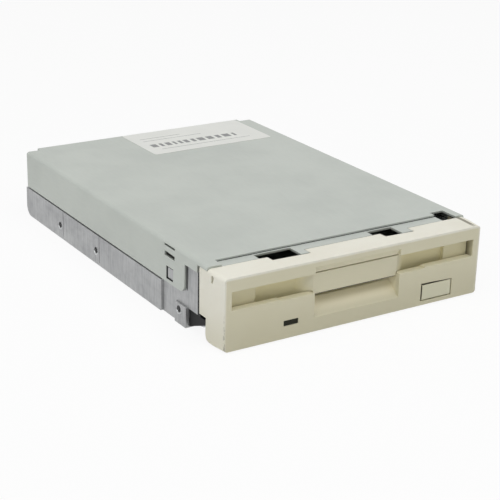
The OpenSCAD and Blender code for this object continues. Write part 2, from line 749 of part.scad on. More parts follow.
// Flap that closes the disk slot
module slot_flap() color("antiquewhite") place() difference() {
    union() {
        translate([0, 0, flap_low]) linear_extrude(flap_top - flap_low) flap_plan();
        translate([0, 0, flap_low - flap_skirt]) linear_extrude(flap_skirt + cut) intersection() {
            flap_plan();
            translate([-flap_w / 2, bezel_wall + run_gap]) square([flap_w, flap_back]);
        }
        slab(flap_mid[0], flap_mid[1], flap_front - flap_proud, flap_back, flap_low - flap_tongue,
            flap_low + cut);
        slab(-flap_w / 2, flap_w / 2, flap_front, flap_back, flap_top - cut, flap_pivot_z);
        bar_x(flap_pivot_y, flap_pivot_z, flap_barrel_r, -flap_w / 2, flap_w / 2);
    }
    slab(flap_mid[0] + 1.5, flap_mid[1] - 1.5, flap_front, flap_back + cut, flap_low, slot_top_z - 1.5);
    bar_x(flap_pivot_y, flap_pivot_z, flap_pin_r + fit_gap, -flap_w, flap_w);
    slab(flap_spring_x[0], flap_spring_x[1], bezel_wall, flap_back + cut,
        flap_pivot_z - flap_spring_r - run_gap,
        flap_pivot_z + 2 * flap_barrel_r);
}

// Eject button with the stem that meets the slider's tab
module eject_button() color("antiquewhite") place() {
    slab(button_x - button_w / 2, button_x + button_w / 2, 0, button_cap, button_z - button_h / 2,
        button_z + button_h / 2);
    slab(button_x - tab_half, button_x + tab_half, button_cap - cut, tab_y, button_z - button_h / 2 + 1,
        button_z + button_h / 2 - 1);
}

// Sliding plate with the tab to the button, cam slots in its flanges and spring seats
module eject_slider() color("lightsteelblue") place() difference() {
    union() {
        slab(-slider_out, slider_out, slider_front, slider_front + slider_bridge, slider_low, slider_top);
        slab(button_x - tab_half, button_x + tab_half, tab_y, slider_front + cut, slider_low, slider_top);
        slab(button_x - tab_half, button_x + tab_half, tab_y, tab_y + slider_t,
            button_z - button_h / 2 + 1, slider_top);
        both_sides() {
            slab(slider_strip, slider_out, slider_front, slider_rear, slider_low, slider_top);
            slab(slider_in, slider_out, carrier_pin_front - 8,
                carrier_pin_front + carrier_pin_pitch + 11, slider_low,
                carrier_pin_z + pin_slot_half + 1.4);
            slab(spring_x - spring_r, spring_x + spring_r, slider_rear - slider_t, slider_rear,
                slider_low,
                spring_z + spring_r);
        }
    }
    side_sweep(-half_w, half_w)
        for (y = [carrier_pin_front, carrier_pin_front + carrier_pin_pitch])
            round_slot([y - cam_over, carrier_pin_z + cam_over * cam_slope],
                [y + eject_travel + cam_over, carrier_pin_z - carrier_drop - cam_over * cam_slope],
                    pin_slot_half);
}

// Two springs that push the slider forward
module slider_springs() color("silver") place() both_sides() difference() {
    bar_y(spring_x, spring_z, spring_r, slider_rear + 0.1, spring_rear);
    bar_y(spring_x, spring_z, spring_r - 0.65, slider_rear - cut, spring_rear + cut);
}

// Sheet carrier that takes the diskette and drops with it
module disk_carrier() color("gainsboro") place() difference() {
    front_sweep(carrier_front, carrier_rear) difference() {
        translate([-carrier_out, carrier_low]) square([2 * carrier_out, carrier_top - carrier_low]);
        translate([-carrier_in, carrier_rail_top]) square([2 * carrier_in, carrier_room]);
        translate([-carrier_lip, carrier_low - cut]) square([2 * carrier_lip, carrier_t + 2 * cut]);
    }
    slab(-arm_window, arm_window, spindle_y + 14, carrier_rear + cut, carrier_under - cut,
        carrier_top + cut);
    both_sides() slab(arm_window + 6, carrier_in - 6, carrier_front + 12, spindle_y - 10,
        carrier_under - cut,
        carrier_top + cut);
}

// Four pins of the carrier, through the cam slots into the frame's guide slots
module carrier_pins() color("silver") place() both_sides()
    for (y = [carrier_pin_front, carrier_pin_front + carrier_pin_pitch])
        bar_x(y, carrier_pin_z, carrier_pin_r, carrier_out, wall_out - run_gap);

// Lever that opens the diskette's shutter
module shutter_lever() color("dimgray") place() translate([lever_x, lever_y, lever_low]) difference() {
    union() {
        linear_extrude(lever_t) round_slot([0, 0], lever_tip, lever_half);
        cylinder(r = lever_post_r + lever_boss, h = lever_t);
        translate(lever_tip) cylinder(r = lever_tip_r, h = lever_t + lever_tip_h);
    }
    translate([0, 0, -cut]) cylinder(r = lever_post_r + fit_gap, h = lever_t + 2 * cut);
}

// Shouldered post of the lever
module lever_post() color("silver") place() {
    bar_z(lever_x, lever_y, lever_post_r - 0.6, floor_low, floor_top + cut);
    bar_z(lever_x, lever_y, lever_post_r + 1.2, floor_top, lever_low - 0.1);
    bar_z(lever_x, lever_y, lever_post_r, floor_top, lever_low + lever_t + 1.6);
}

// Return spring of the lever, round its post
module lever_spring() color("silver") place() difference() {
    bar_z(lever_x, lever_y, lever_post_r + 0.9, lever_low + lever_t + 0.2, lever_low + lever_t + 1.4);
    bar_z(lever_x, lever_y, lever_post_r + 0.1, lever_low, lever_low + lever_t + 2);
}

// Sleeve bearing of the spindle
module spindle_bearing() color("goldenrod") place() difference() {
    bar_z(0, spindle_y, bearing_r, rotor_low + 2, floor_top + run_gap);
    bar_z(0, spindle_y, shaft_r + fit_gap, rotor_low, floor_top + cut);
}

// Spindle shaft through bearing, rotor and hub
module spindle_shaft() color("silver") place()
    bar_z(0, spindle_y, shaft_r, rotor_low, carrier_rail_top - 0.8);

// Hub that grips the diskette's steel centre
module chuck_hub() color("gray") place() difference() {
    union() {
        bar_z(0, spindle_y, hub_r, hub_low, hub_top);
        bar_z(0, spindle_y, shaft_r + 1.5, hub_low, hub_top + 0.6);
    }
    bar_z(0, spindle_y, shaft_r + seat_gap, hub_low - cut, hub_top + 2 * cut);
}

// Pin that turns the diskette
module drive_pin() color("silver") place() bar_z(hub_r - 2.5, spindle_y, 1.2, hub_top, hub_top + 1.4);

// Rotor cup under the motor board
module rotor_cup() color("lightgray") place() translate([0, spindle_y, rotor_low]) difference() {
    cylinder(r = rotor_r, h = rotor_h, $fn = 96);
    difference() {
        translate([0, 0, rotor_wall]) cylinder(r = rotor_r - rotor_wall, h = rotor_h, $fn = 96);
        cylinder(r = shaft_r + 1.6, h = 2 - run_gap);
    }
    translate([0, 0, -cut]) cylinder(r = shaft_r + seat_gap, h = rotor_h + 2 * cut);
}

// Ring magnet inside the rotor cup
module rotor_magnet() color("dimgray") place() translate([0, spindle_y,
    rotor_low + rotor_wall]) difference() {
    cylinder(r = rotor_r - rotor_wall - seat_gap, h = rotor_h - rotor_wall - 0.2, $fn = 96);
    translate([0, 0, -cut]) cylinder(r = magnet_in, h = rotor_h + cut, $fn = 96);
}

// Laminated stator on the bearing
module stator_core() color("slategray") place() translate([0, spindle_y, stator_low]) difference() {
    union() {
        cylinder(r = bearing_r + 3.5, h = stator_t);
        intersection() {
            cylinder(r = magnet_in - 0.5, h = stator_t);
            for (i = [0 : poles - 1]) rotate(i * 360 / poles) {
                translate([0, -tooth_half, 0]) cube([magnet_in, 2 * tooth_half, stator_t]);
                translate([magnet_in - 2, -2 * tooth_half, 0]) cube([2, 4 * tooth_half, stator_t]);
            }
        }
    }
    translate([0, 0, -cut]) cylinder(r = bearing_r + seat_gap, h = stator_t + 2 * cut);
}

// One winding on each stator tooth
module stator_coils() color("peru") place() translate([0, spindle_y, stator_low])
    for (i = [0 : poles - 1]) rotate(i * 360 / poles) difference() {
        translate([bearing_r + 5.2, -coil_half, -coil_over]) cube([7, 2 * coil_half,
            stator_t + 2 * coil_over]);
        translate([0, -tooth_half, 0]) cube([magnet_in, 2 * tooth_half, stator_t]);
    }

// Board of the spindle motor, hung under the floor
module motor_board() color("darkgreen") place() difference() {
    slab(-motor_board_x, motor_board_x, motor_board_front, motor_board_rear, motor_board_low,
        motor_board_top);
    bar_z(0, spindle_y, bearing_r + 0.1, motor_board_low - cut, motor_board_top + cut);
    both_sides() for (y = motor_holes) bar_z(motor_hole_x, y, pilot_r + 0.2, motor_board_low - cut,
        motor_board_top + cut);
}

// Main board at the back, cut away round the carriage and the stepper
module main_board() color("darkgreen") place() difference() {
    union() {
        slab(-main_board_side, main_board_side, connector_strip, main_board_rear, main_board_low,
            main_board_top);
        slab(-main_board_side, main_board_inner, main_board_front, connector_strip + cut,
            main_board_low, main_board_top);
        slab(opening_x[1] + 3, main_board_side, floor_rear - 12, connector_strip + cut, main_board_low,
            main_board_top);
    }
    for (p = main_posts) bar_z(p[0], p[1], pilot_r + 0.2, main_board_low - cut, main_board_top + cut);
}

// Open housing of a connector, with its mouth to the back
module connector_shell(x, w, h, ways, rows, pitch) difference() {
    slab(x - w / 2, x + w / 2, connector_front, connector_rear, main_board_top, main_board_top + h);
    slab(x - w / 2 + connector_wall, x + w / 2 - connector_wall, connector_front + 2,
        connector_rear + cut,
        main_board_top + connector_wall, main_board_top + h - connector_wall);
    for (row = [0 : rows - 1], way = [0 : ways - 1]) connector_pin_bar(x, h, ways, rows, pitch, row,
        way, seat_gap);
}

// Level stretch of one connector pin
module connector_pin_bar(x, h, ways, rows, pitch, row, way, extra) {
    half = pin_half + extra;
    pin_x = x + (way - (ways - 1) / 2) * pitch;
    pin_z = main_board_top + h / 2 + (row - (rows - 1) / 2) * pitch;
    tail = connector_front - 0.6 - (row + 1) * 0.5;
    slab(pin_x - half, pin_x + half, tail, connector_rear - 1.6, pin_z - half, pin_z + half);
}

// Pins with their tails bent down to the board
module connector_pins(x, h, ways, rows, pitch)
    for (row = [0 : rows - 1], way = [0 : ways - 1]) {
        pin_x = x + (way - (ways - 1) / 2) * pitch;
        pin_z = main_board_top + h / 2 + (row - (rows - 1) / 2) * pitch;
        tail = connector_front - 0.6 - (row + 1) * 0.5 - row * pin_half;
        connector_pin_bar(x, h, ways, rows, pitch, row, way, 0);
        slab(pin_x - pin_half, pin_x + pin_half, tail, tail + pin_half, main_board_top, pin_z + pin_half);
        slab(pin_x - pin_half, pin_x + pin_half, tail, connector_front - 0.6, pin_z - pin_half,
            pin_z + pin_half);
    }

module signal_connector() color("black") place()
    connector_shell(signal_x, signal_w, signal_h, signal_ways, 2, signal_pitch);
module signal_pins() color("gold") place()
    connector_pins(signal_x, signal_h, signal_ways, 2, signal_pitch);
module power_connector() color("ivory") place()
    connector_shell(power_x, power_w, power_h, power_ways, 1, power_pitch);
module power_pins() color("silver") place()
    connector_pins(power_x, power_h, power_ways, 1, power_pitch);

// Chips on the main board: controller, logic and a small one
chip_size = [13, 13, 2.2];
chip_at = [-32.5, main_board_front + 24.5];
logic_size = [10, 6, 1.7];
logic_at = [-29, main_board_front + 6];
small_size = [3, 3, 1.2];
small_at = [opening_x[1] + 6.5, connector_strip - 2.5];
module on_board(at, size, z) slab(at[0] - size[0] / 2, at[0] + size[0] / 2, at[1] - size[1] / 2,
    at[1] + size[1] / 2, z, z + size[2]);
module board_chips() color("black") place() {
    on_board(chip_at, chip_size, main_board_top);
    on_board(logic_at, logic_size, main_board_top);
    on_board(small_at, small_size, main_board_top);
}

// Upright capacitors on the main board
capacitor_r = 2;
capacitor_at = [[-22, main_board_front + 37], [-28, main_board_front + 39],
    [opening_x[1] + 6, floor_rear - 9]];
module capacitors() color("midnightblue") place() for (p = capacitor_at)
    bar_z(p[0], p[1], capacitor_r, main_board_top, floor_low - run_gap);

// Driver chip under the motor board
driver_size = [11, 7, 1.8];
driver_at = [-32.5, motor_board_front + 17.5];
module motor_chip() color("black") place() on_board(driver_at, driver_size, motor_board_low - driver_size[2]);

// Sensor beside the rotor, under the motor board
module index_sensor() color("black") place()
    slab(rotor_r + 1, rotor_r + 4, spindle_y - 2, spindle_y + 2, motor_board_low - 1.3, motor_board_low);

// Three switch housings on the motor board
module switch_bodies() color("whitesmoke") place() for (x = switch_x) difference() {
    slab(x - switch_half, x + switch_half, switch_y - switch_half, switch_y + switch_half,
        motor_board_top, switch_top);
    bar_z(x, switch_y, plunger_r + 0.06, motor_board_top + 0.8, switch_top + cut);
}

// Plunger of one switch
module plunger(x) color("lightyellow") place()
    bar_z(x, switch_y, plunger_r, plunger_top - plunger_l, plunger_top);

module protect_plunger() plunger(switch_x[0]);
module disk_plunger() plunger(switch_x[1]);
module density_plunger() plunger(switch_x[2]);

// Stepper motor behind its bracket
stepper_bore = 8;
module stepper_motor() color("silver") place() difference() {
    union() {
        bar_y(screw_x, screw_z, stepper_r, stepper_front, stepper_front + stepper_l);
        bar_y(screw_x, screw_z, 2.4, stepper_front - bracket_t, stepper_front + cut);
    }
    bar_y(screw_x, screw_z, shaft_end_r + fit_gap, stepper_front - bracket_t - cut,
        stepper_front + stepper_bore);
}

// Bent bracket that carries the stepper on the floor
module stepper_bracket() color("lightgray") place() difference() {
    union() {
        slab(carriage_x[1] + 1.5, opening_x[1] - 0.5, bracket_y, stepper_front,
            screw_z - stepper_r + 1.5, bracket_top);
        slab(carriage_x[1] + 1.5, opening_x[1] + 9, bracket_y, stepper_front, floor_top, bracket_top);
        slab(opening_x[1] + 0.5, opening_x[1] + 9, bracket_y - 11, stepper_front, floor_top,
            floor_top + bracket_t);
    }
    bar_y(screw_x, screw_z, 2.4 + seat_gap, bracket_y - cut, stepper_front + cut);
    for (p = bracket_holes) bar_z(p[0], p[1], pilot_r + 0.2, floor_top - cut,
        floor_top + bracket_t + cut);
}

// Bush at the front of the lead screw
module screw_bearing() color("goldenrod") place() difference() {
    bar_y(screw_x, screw_z, bush_r, opening_front - lug_l, opening_front);
    bar_y(screw_x, screw_z, journal_r + fit_gap, opening_front - lug_l - cut, opening_front + cut);
}

// Lead screw with its journal and its motor shaft
module lead_screw() color("lightgray") place() {
    bar_y(screw_x, screw_z, journal_r, opening_front - lug_l + 0.5, opening_front + cut);
    bar_y(screw_x, screw_z, screw_r, opening_front + run_gap, bracket_y - run_gap);
    bar_y(screw_x, screw_z, shaft_end_r, bracket_y - cut, stepper_front + 7.5);
}

// Two rods that guide the carriage
module guide_rods() color("silver") place() for (x = rod_x) bar_y(x, rod_z, rod_r, rod_front,
    rod_bar_rear);

// Plate that keeps the rods in
module rod_retainer() color("lightgray") place() difference() {
    slab(rod_x[0] - rod_lug_half, rod_x[1] + rod_lug_half, rod_bar_rear, rod_bar_rear + bracket_t,
        rod_z - rod_lug_half,
        rod_z + rod_r + 0.2);
    bar_y(retainer_hole[0], retainer_hole[1], pilot_r + 0.2, rod_bar_rear - cut, rod_bar_rear + 2 * cut);
}

// Light gate that sees the carriage's flag at the outermost track
module track_zero_sensor() color("black") place() difference() {
    slab(opening_x[0] - 7, opening_x[0] - 0.4, flag_y[0] - 1, flag_y[1] + 1, floor_top, flag_z + 2.2);
    slab(opening_x[0] - 4, opening_x[0] + cut, flag_y[0] - 1 - cut, flag_y[1] + 1 + cut, flag_z - 0.4,
        flag_z + flag_t + 0.4);
}

// Carriage on the guide rods, with nose, hinge ears and flag
module head_carriage() color("dimgray") place() difference() {
    union() {
        slab(carriage_x[0], carriage_x[1], body_front, body_rear, rod_z - rod_lug_half, floor_top + 0.6);
        slab(-nose_half, nose_half, head_y - 5, body_front + cut, nose_low, nose_top);
        slab(carriage_x[1] - 3, carriage_x[1], follower_y - 1, follower_y + 5, floor_top, follower_top);
        both_sides() slab(ear_in, ear_in + 2, hinge_y - 3, body_rear, floor_top, hinge_z + 2);
        slab(carriage_x[0], carriage_x[0] + 1.5, flag_y[0], flag_y[1], floor_top, flag_z + flag_t);
        slab(opening_x[0] - 3.5, carriage_x[0] + 1.5, flag_y[0], flag_y[1], flag_z, flag_z + flag_t);
    }
    for (x = rod_x) bar_y(x, rod_z, rod_r + fit_gap, body_front - cut, body_rear + cut);
    slab(rod_x[0] + rod_lug_half, rod_x[1] - rod_lug_half, body_front + 5, body_rear - 5, 0,
        floor_top - 0.6);
    bar_x(hinge_y, hinge_z, hinge_pin_r + seat_gap, -ear_in - 2 - cut, ear_in + 2 + cut);
}

// Sprung follower that rides on the lead screw
module screw_follower() color("whitesmoke") place()
    slab(carriage_x[1], screw_x + screw_r, follower_y, follower_y + 4, screw_z + screw_r + run_gap / 2,
        follower_top);

// Lower head on the carriage's nose
module lower_head() color("wheat") place() {
    bar_z(0, head_y, 3.2, nose_top, lower_head_z - 0.5);
    bar_z(0, head_y, 2.6, nose_top, lower_head_z);
}

// Flat cable that leaves the carriage's side
module head_ribbon() color("orange") place()
    slab(ribbon_x, carriage_x[0], ribbon_y, ribbon_y + 8, ribbon_z, ribbon_z + 0.2);

// Socket of the flat cable on the main board
module ribbon_socket() color("ivory") place()
    slab(ribbon_x - run_gap - 4, ribbon_x - run_gap, ribbon_y - 1, ribbon_y + 9, main_board_top,
        ribbon_z + 1.2);

// Pin through the ears of the carriage
module arm_hinge_pin() color("silver") place() bar_x(hinge_y, hinge_z, hinge_pin_r, -ear_in - 2,
    ear_in + 2);

// Spring round the hinge pin that loads the arm
module arm_spring() color("silver") place() difference() {
    bar_x(hinge_y, hinge_z, arm_spring_r, barrel_half + run_gap, ear_in - run_gap);
    bar_x(hinge_y, hinge_z, hinge_pin_r + 0.1, barrel_half, ear_in);
}

// Arm of the upper head
module head_arm() color("gainsboro") place() difference() {
    union() {
        bar_x(hinge_y, hinge_z, hinge_pin_r + 1, -barrel_half, barrel_half);
        slab(-barrel_half, barrel_half, hinge_y - 2, hinge_y + 1.2, hinge_z, arm_low + arm_t);
        slab(-arm_half, arm_half, head_y + 6, hinge_y - arm_spring_r - run_gap, arm_low, arm_low + arm_t);
        slab(-barrel_half, barrel_half, head_y + 6, hinge_y + 1.2, arm_low, arm_low + arm_t);
        slab(-nose_half, nose_half, head_y - 4, head_y + 7, arm_low, arm_low + arm_t);
    }
    bar_x(hinge_y, hinge_z, hinge_pin_r + fit_gap, -arm_half - cut, arm_half + cut);
}

// Upper head under the arm's tip
module upper_head() color("wheat") place() {
    bar_z(0, head_y, 2.6, upper_head_z, arm_low);
    bar_z(0, head_y, 3.2, upper_head_z + 0.3, arm_low);
}

// Screws of the two boards, from below
module board_screws() color("silver") place() {
    for (p = main_posts) screw_up(p[0], p[1], main_board_low, 4);
    both_sides() for (y = motor_holes) screw_up(motor_hole_x, y, motor_board_low, 2.6);
}

// Screws of the stepper's bracket, from above
module bracket_screws() color("silver") place() for (p = bracket_holes) {
    bar_z(p[0], p[1], screw_head_r, floor_top + bracket_t, floor_top + bracket_t + screw_head_h);
    bar_z(p[0], p[1], pilot_r - seat_gap, floor_low + 0.2, floor_top + bracket_t + screw_head_h);
}

// Screw of the rod retainer, from behind
module retainer_screw() color("silver") place() {
    bar_y(retainer_hole[0], retainer_hole[1], screw_head_r, rod_bar_rear + bracket_t,
        rod_bar_rear + bracket_t + screw_head_h);
    bar_y(retainer_hole[0], retainer_hole[1], pilot_r - seat_gap, rod_bar_rear - 3,
        rod_bar_rear + bracket_t + screw_head_h);
}

// Screws of the front feet, from below
module foot_screws() color("silver") place() both_sides() screw_up(foot_hole[0], foot_hole[1],
    foot_low, floor_top - foot_low - 0.2);

main_frame();
top_cover();
front_bezel();
rating_label();
led_lens();
led();
front_feet();
flap_pin();
flap_spring();
motor_board();
main_board();
signal_connector();
signal_pins();
power_connector();
power_pins();
board_chips();
capacitors();
motor_chip();
spindle_bearing();
stator_core();
stator_coils();
stepper_motor();
stepper_bracket();
screw_bearing();
guide_rods();
rod_retainer();
track_zero_sensor();
index_sensor();
switch_bodies();
ribbon_socket();
slider_springs();
lever_post();
lever_spring();
board_screws();
bracket_screws();
retainer_screw();
foot_screws();
eject_button();
eject_slider();
disk_carrier();
carrier_pins();
slot_flap();
shutter_lever();
rotor_cup();
rotor_magnet();
spindle_shaft();
chuck_hub();
drive_pin();
lead_screw();
head_carriage();
screw_follower();
lower_head();
head_ribbon();
arm_hinge_pin();
arm_spring();
head_arm();
upper_head();
protect_plunger();
density_plunger();
disk_plunger();
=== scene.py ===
"""Internal 3.5 inch floppy disk drive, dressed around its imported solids."""

import json
import logging
import math
from contextlib import contextmanager
from dataclasses import dataclass, field
from enum import Enum
from typing import Callable, Dict, Iterator, List, Mapping, Optional, Sequence, Tuple, Union

import bpy
from mathutils import Matrix, Vector

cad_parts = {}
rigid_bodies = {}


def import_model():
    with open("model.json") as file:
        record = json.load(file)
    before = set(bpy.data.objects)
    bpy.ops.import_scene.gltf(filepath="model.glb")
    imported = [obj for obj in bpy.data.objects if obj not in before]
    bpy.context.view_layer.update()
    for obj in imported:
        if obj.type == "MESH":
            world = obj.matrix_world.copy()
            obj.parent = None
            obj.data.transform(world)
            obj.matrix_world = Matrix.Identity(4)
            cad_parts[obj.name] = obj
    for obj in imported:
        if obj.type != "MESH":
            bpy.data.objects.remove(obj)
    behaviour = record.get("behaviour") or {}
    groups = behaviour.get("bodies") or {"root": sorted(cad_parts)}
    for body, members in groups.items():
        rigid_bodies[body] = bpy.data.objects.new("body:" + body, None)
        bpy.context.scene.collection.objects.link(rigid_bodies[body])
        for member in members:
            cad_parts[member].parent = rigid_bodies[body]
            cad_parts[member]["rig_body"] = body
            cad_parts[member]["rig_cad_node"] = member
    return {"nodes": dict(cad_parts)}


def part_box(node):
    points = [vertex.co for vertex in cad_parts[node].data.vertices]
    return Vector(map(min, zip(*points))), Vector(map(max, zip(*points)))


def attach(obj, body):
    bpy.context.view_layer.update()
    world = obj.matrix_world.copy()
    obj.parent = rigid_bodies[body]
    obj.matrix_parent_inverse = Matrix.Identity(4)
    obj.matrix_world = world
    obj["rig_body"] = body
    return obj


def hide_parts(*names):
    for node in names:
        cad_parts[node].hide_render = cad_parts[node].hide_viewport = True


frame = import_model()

logging.basicConfig(level=logging.INFO, format="%(message)s")
LOG = logging.getLogger("drive")

MM = 0.001
DEPTH = 149.0
EVEN = (1.0, 1.0, 1.0)
UNTURNED = (0, 0, 0)
OVER = (180, 0, 0)

# Degrees past which an edge stays sharp, and how far a normal has to point along an axis to face that way
SMOOTH = 35.0
FACING = 0.9

# Share of an edge left out at each end, least run that isn't upright, and metres that count as nothing
END = 0.02
LEVEL = 1e-6
TINY = 1e-7

Piece = bpy.types.Object
Material = bpy.types.Material
Colour = Tuple[float, float, float]
Spot = Tuple[float, float, float]
Span = Tuple[float, float]
Window = Tuple[float, float, float, float]
Setting = Union[str, int, float, bool, Sequence]
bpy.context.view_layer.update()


def row_y(depth: float) -> float:
    """Row Y in metres of a depth in millimetres behind the bezel's front face."""
    return (depth - DEPTH / 2) * MM


def srgb(*parts: int) -> Colour:
    """Linear colour of a display colour.

    Args:
        parts: Red, green and blue from 0 to 255.

    Returns:
        The three linear values.
    """
    shares = (part / 255 for part in parts)
    return tuple(s / 12.92 if s <= 0.04045 else ((s + 0.055) / 1.055) ** 2.4 for s in shares)


def _step(operation: str) -> Callable[["Wire", "Value"], "Wire"]:
    """Method that puts a Math node on a wire and a value.

    Args:
        operation: What the node does.

    Returns:
        The method.
    """
    def method(self: "Wire", other: "Value") -> "Wire":
        """Result of the operation on this wire and another value."""
        return self._math(operation, self, other)
    return method


class Wire:
    """A shader socket that takes part in Python arithmetic."""

    def __init__(self, board: "ShaderBoard", socket: bpy.types.NodeSocket) -> None:
        """Keeps the socket and the board that it is on."""
        self.board = board
        self.socket = socket

    def _math(self, operation: str, first: "Value", second: "Value" = 0.0) -> "Wire":
        """One Math node on two values."""
        return self.board.node("ShaderNodeMath", {"operation": operation}, {0: first, 1: second})

    __add__ = __radd__ = _step("ADD")
    __sub__ = _step("SUBTRACT")
    __mul__ = _step("MULTIPLY")
    __truediv__ = _step("DIVIDE")
    above = _step("GREATER_THAN")
    below = _step("LESS_THAN")

    def __rsub__(self, other: "Value") -> "Wire":
        """Difference from a number."""
        return self._math("SUBTRACT", other, self)

    def wave(self, length: float) -> "Wire":
        """Distance along each repeat of the given length, from zero to one."""
        return self._math("FRACT", self / length)

    def ramp(self, low: float, high: float) -> "Wire":
        """Smooth rise from zero at low to one at high."""
        return self.board.node("ShaderNodeMapRange", {"interpolation_type": "SMOOTHSTEP"},
                               {0: self, 1: low, 2: high, 3: 0.0, 4: 1.0})


Value = Union[Wire, float]
Feed = Union[Wire, float, Colour, Sequence[float]]


class ShaderBoard:
    """One material's nodes, with a Principled shader at the end."""

    def __init__(self, name: str) -> None:
        """Makes the material and its shader.

        Args:
            name: The material's name.
        """
        self.material = bpy.data.materials.new(name)
        self.material.use_nodes = True
        self.tree = self.material.node_tree
        self.tree.nodes.clear()
        self.shader = self.tree.nodes.new("ShaderNodeBsdfPrincipled")
        self.output = self.tree.nodes.new("ShaderNodeOutputMaterial")
        self.tree.links.new(self.shader.outputs[0], self.output.inputs[0])

    def node(self, kind: str, settings: Mapping[str, Setting], feeds: Mapping[Union[int, str], Feed],
             out: Union[int, str] = 0) -> Wire:
        """Adds one node.

        Args:
            kind: The node's type.
            settings: Values of the node's own settings.
            feeds: Values or links of its sockets.
            out: The output that is handed back.

        Returns:
            The output, ready for arithmetic.
        """
        made = self.tree.nodes.new(kind)
        for key, value in settings.items():
            setattr(made, key, value)
        for key, value in feeds.items():
            self.feed(made.inputs[key], value)
        return Wire(self, made.outputs[out])

    def feed(self, socket: bpy.types.NodeSocket, value: Feed) -> None:
        """Links a wire to a socket, or sets a plain value on it.

        Args:
            socket: The socket that is fed.
            value: A wire, a number, a colour or a vector.
        """
        if isinstance(value, Wire):
            self.tree.links.new(value.socket, socket)
        elif hasattr(value, "__len__") and socket.type == "RGBA":
            socket.default_value = (*value, 1.0)
        else:
            socket.default_value = value

    def finish(self, **sockets: Feed) -> Material:
        """Feeds the shader's sockets.

        Args:
            sockets: Their values or links, with underscores for the spaces in a socket's name.

        Returns:
            The material.
        """
        for key, value in sockets.items():
            self.feed(self.shader.inputs[key.replace("_", " ")], value)
        return self.material

    def place(self, stretch: Sequence[float] = EVEN, turn: Sequence[float] = UNTURNED) -> Wire:
        """Object coordinates in millimetres, stretched and turned.

        Args:
            stretch: Factor on each axis.
            turn: Turns about the axes in radians.

        Returns:
            The coordinates.
        """
        spot = self.node("ShaderNodeTexCoord", {}, {}, "Object")
        scale = [part / MM for part in stretch]
        return self.node("ShaderNodeMapping", {}, {"Vector": spot, "Rotation": turn, "Scale": scale})

    def axes(self) -> Tuple[Wire, Wire, Wire]:
        """The three object coordinates in millimetres."""
        split = self.node("ShaderNodeSeparateXYZ", {}, {0: self.place()}).socket.node
        return tuple(Wire(self, out) for out in split.outputs)

    def noise(self, size: float, detail: float = 3.0, stretch: Sequence[float] = EVEN,
              turn: Sequence[float] = UNTURNED, roughness: float = 0.55) -> Wire:
        """Noise on object coordinates.

        Args:
            size: Millimetres across a grain, about.
            detail: Finer layers that are added.
            stretch: Factor on each axis.
            turn: Turns about the axes in radians.
            roughness: How much the finer layers count.

        Returns:
            The noise, from zero to one.
        """
        feeds = {"Vector": self.place(stretch, turn), "Scale": 1 / size, "Detail": detail,
                 "Roughness": roughness}
        return self.node("ShaderNodeTexNoise", {}, feeds)

    def mix(self, share: Value, first: Feed, second: Feed) -> Wire:
        """Colour between the first and the second."""
        return self.node("ShaderNodeMix", {"data_type": "RGBA"}, {0: share, 6: first, 7: second}, 2)

    def bump(self, height: Wire, depth: float, strength: float) -> Wire:
        """Normal of a height field that is the given millimetres deep."""
        feeds = {"Strength": strength, "Distance": depth * MM, "Height": height}
        return self.node("ShaderNodeBump", {}, feeds)


@dataclass(frozen=True)
class Sheet:
    """Plated or bare metal with a rolled grain, clouding and fine scratches, and painted shade on the cut
    edges inside an optional window.
    """

    colour: Colour
    dull: Colour
    metallic: float
    roughness: float
    cloud: float
    grain: float
    along: Spot
    depth: float
    speck: float = 1.3
    window: Optional[Window] = None
    skin: float = 50.74
    window_shade: Colour = srgb(58, 61, 60)

    def make(self, name: str) -> Material:
        """Builds the metal's nodes.

        Args:
            name: The material's name.

        Returns:
            The material.
        """
        board = ShaderBoard(name)
        clouds = board.noise(self.cloud, 4.0)
        grain = board.noise(self.grain, 2.0, self.along)
        specks = board.noise(self.speck, 2.0).ramp(0.62, 0.74)
        share = clouds.ramp(0.35, 0.7) * 0.6 + grain * 0.35 + specks * 0.2
        tint = board.mix(share, self.colour, self.dull)
        # Painted shade: inside the window, the sheet's cut edges and inner faces are darkened to stand for
        # the shade in the opening.
        if self.window:
            front, back, low, high = self.window
            across, along, up = board.axes()
            depth = along + DEPTH / 2
            under = (across * across).below(self.skin ** 2) * up.above(low) * up.below(high)
            inside = depth.above(front) * depth.below(back)
            tint = board.mix(under * inside, tint, self.window_shade)
        rough = self.roughness + (clouds - 0.5) * 0.18 + (grain - 0.5) * 0.16
        return board.finish(Base_Color=tint, Metallic=self.metallic, Roughness=rough,
                            Normal=board.bump(grain, self.depth, 0.5))


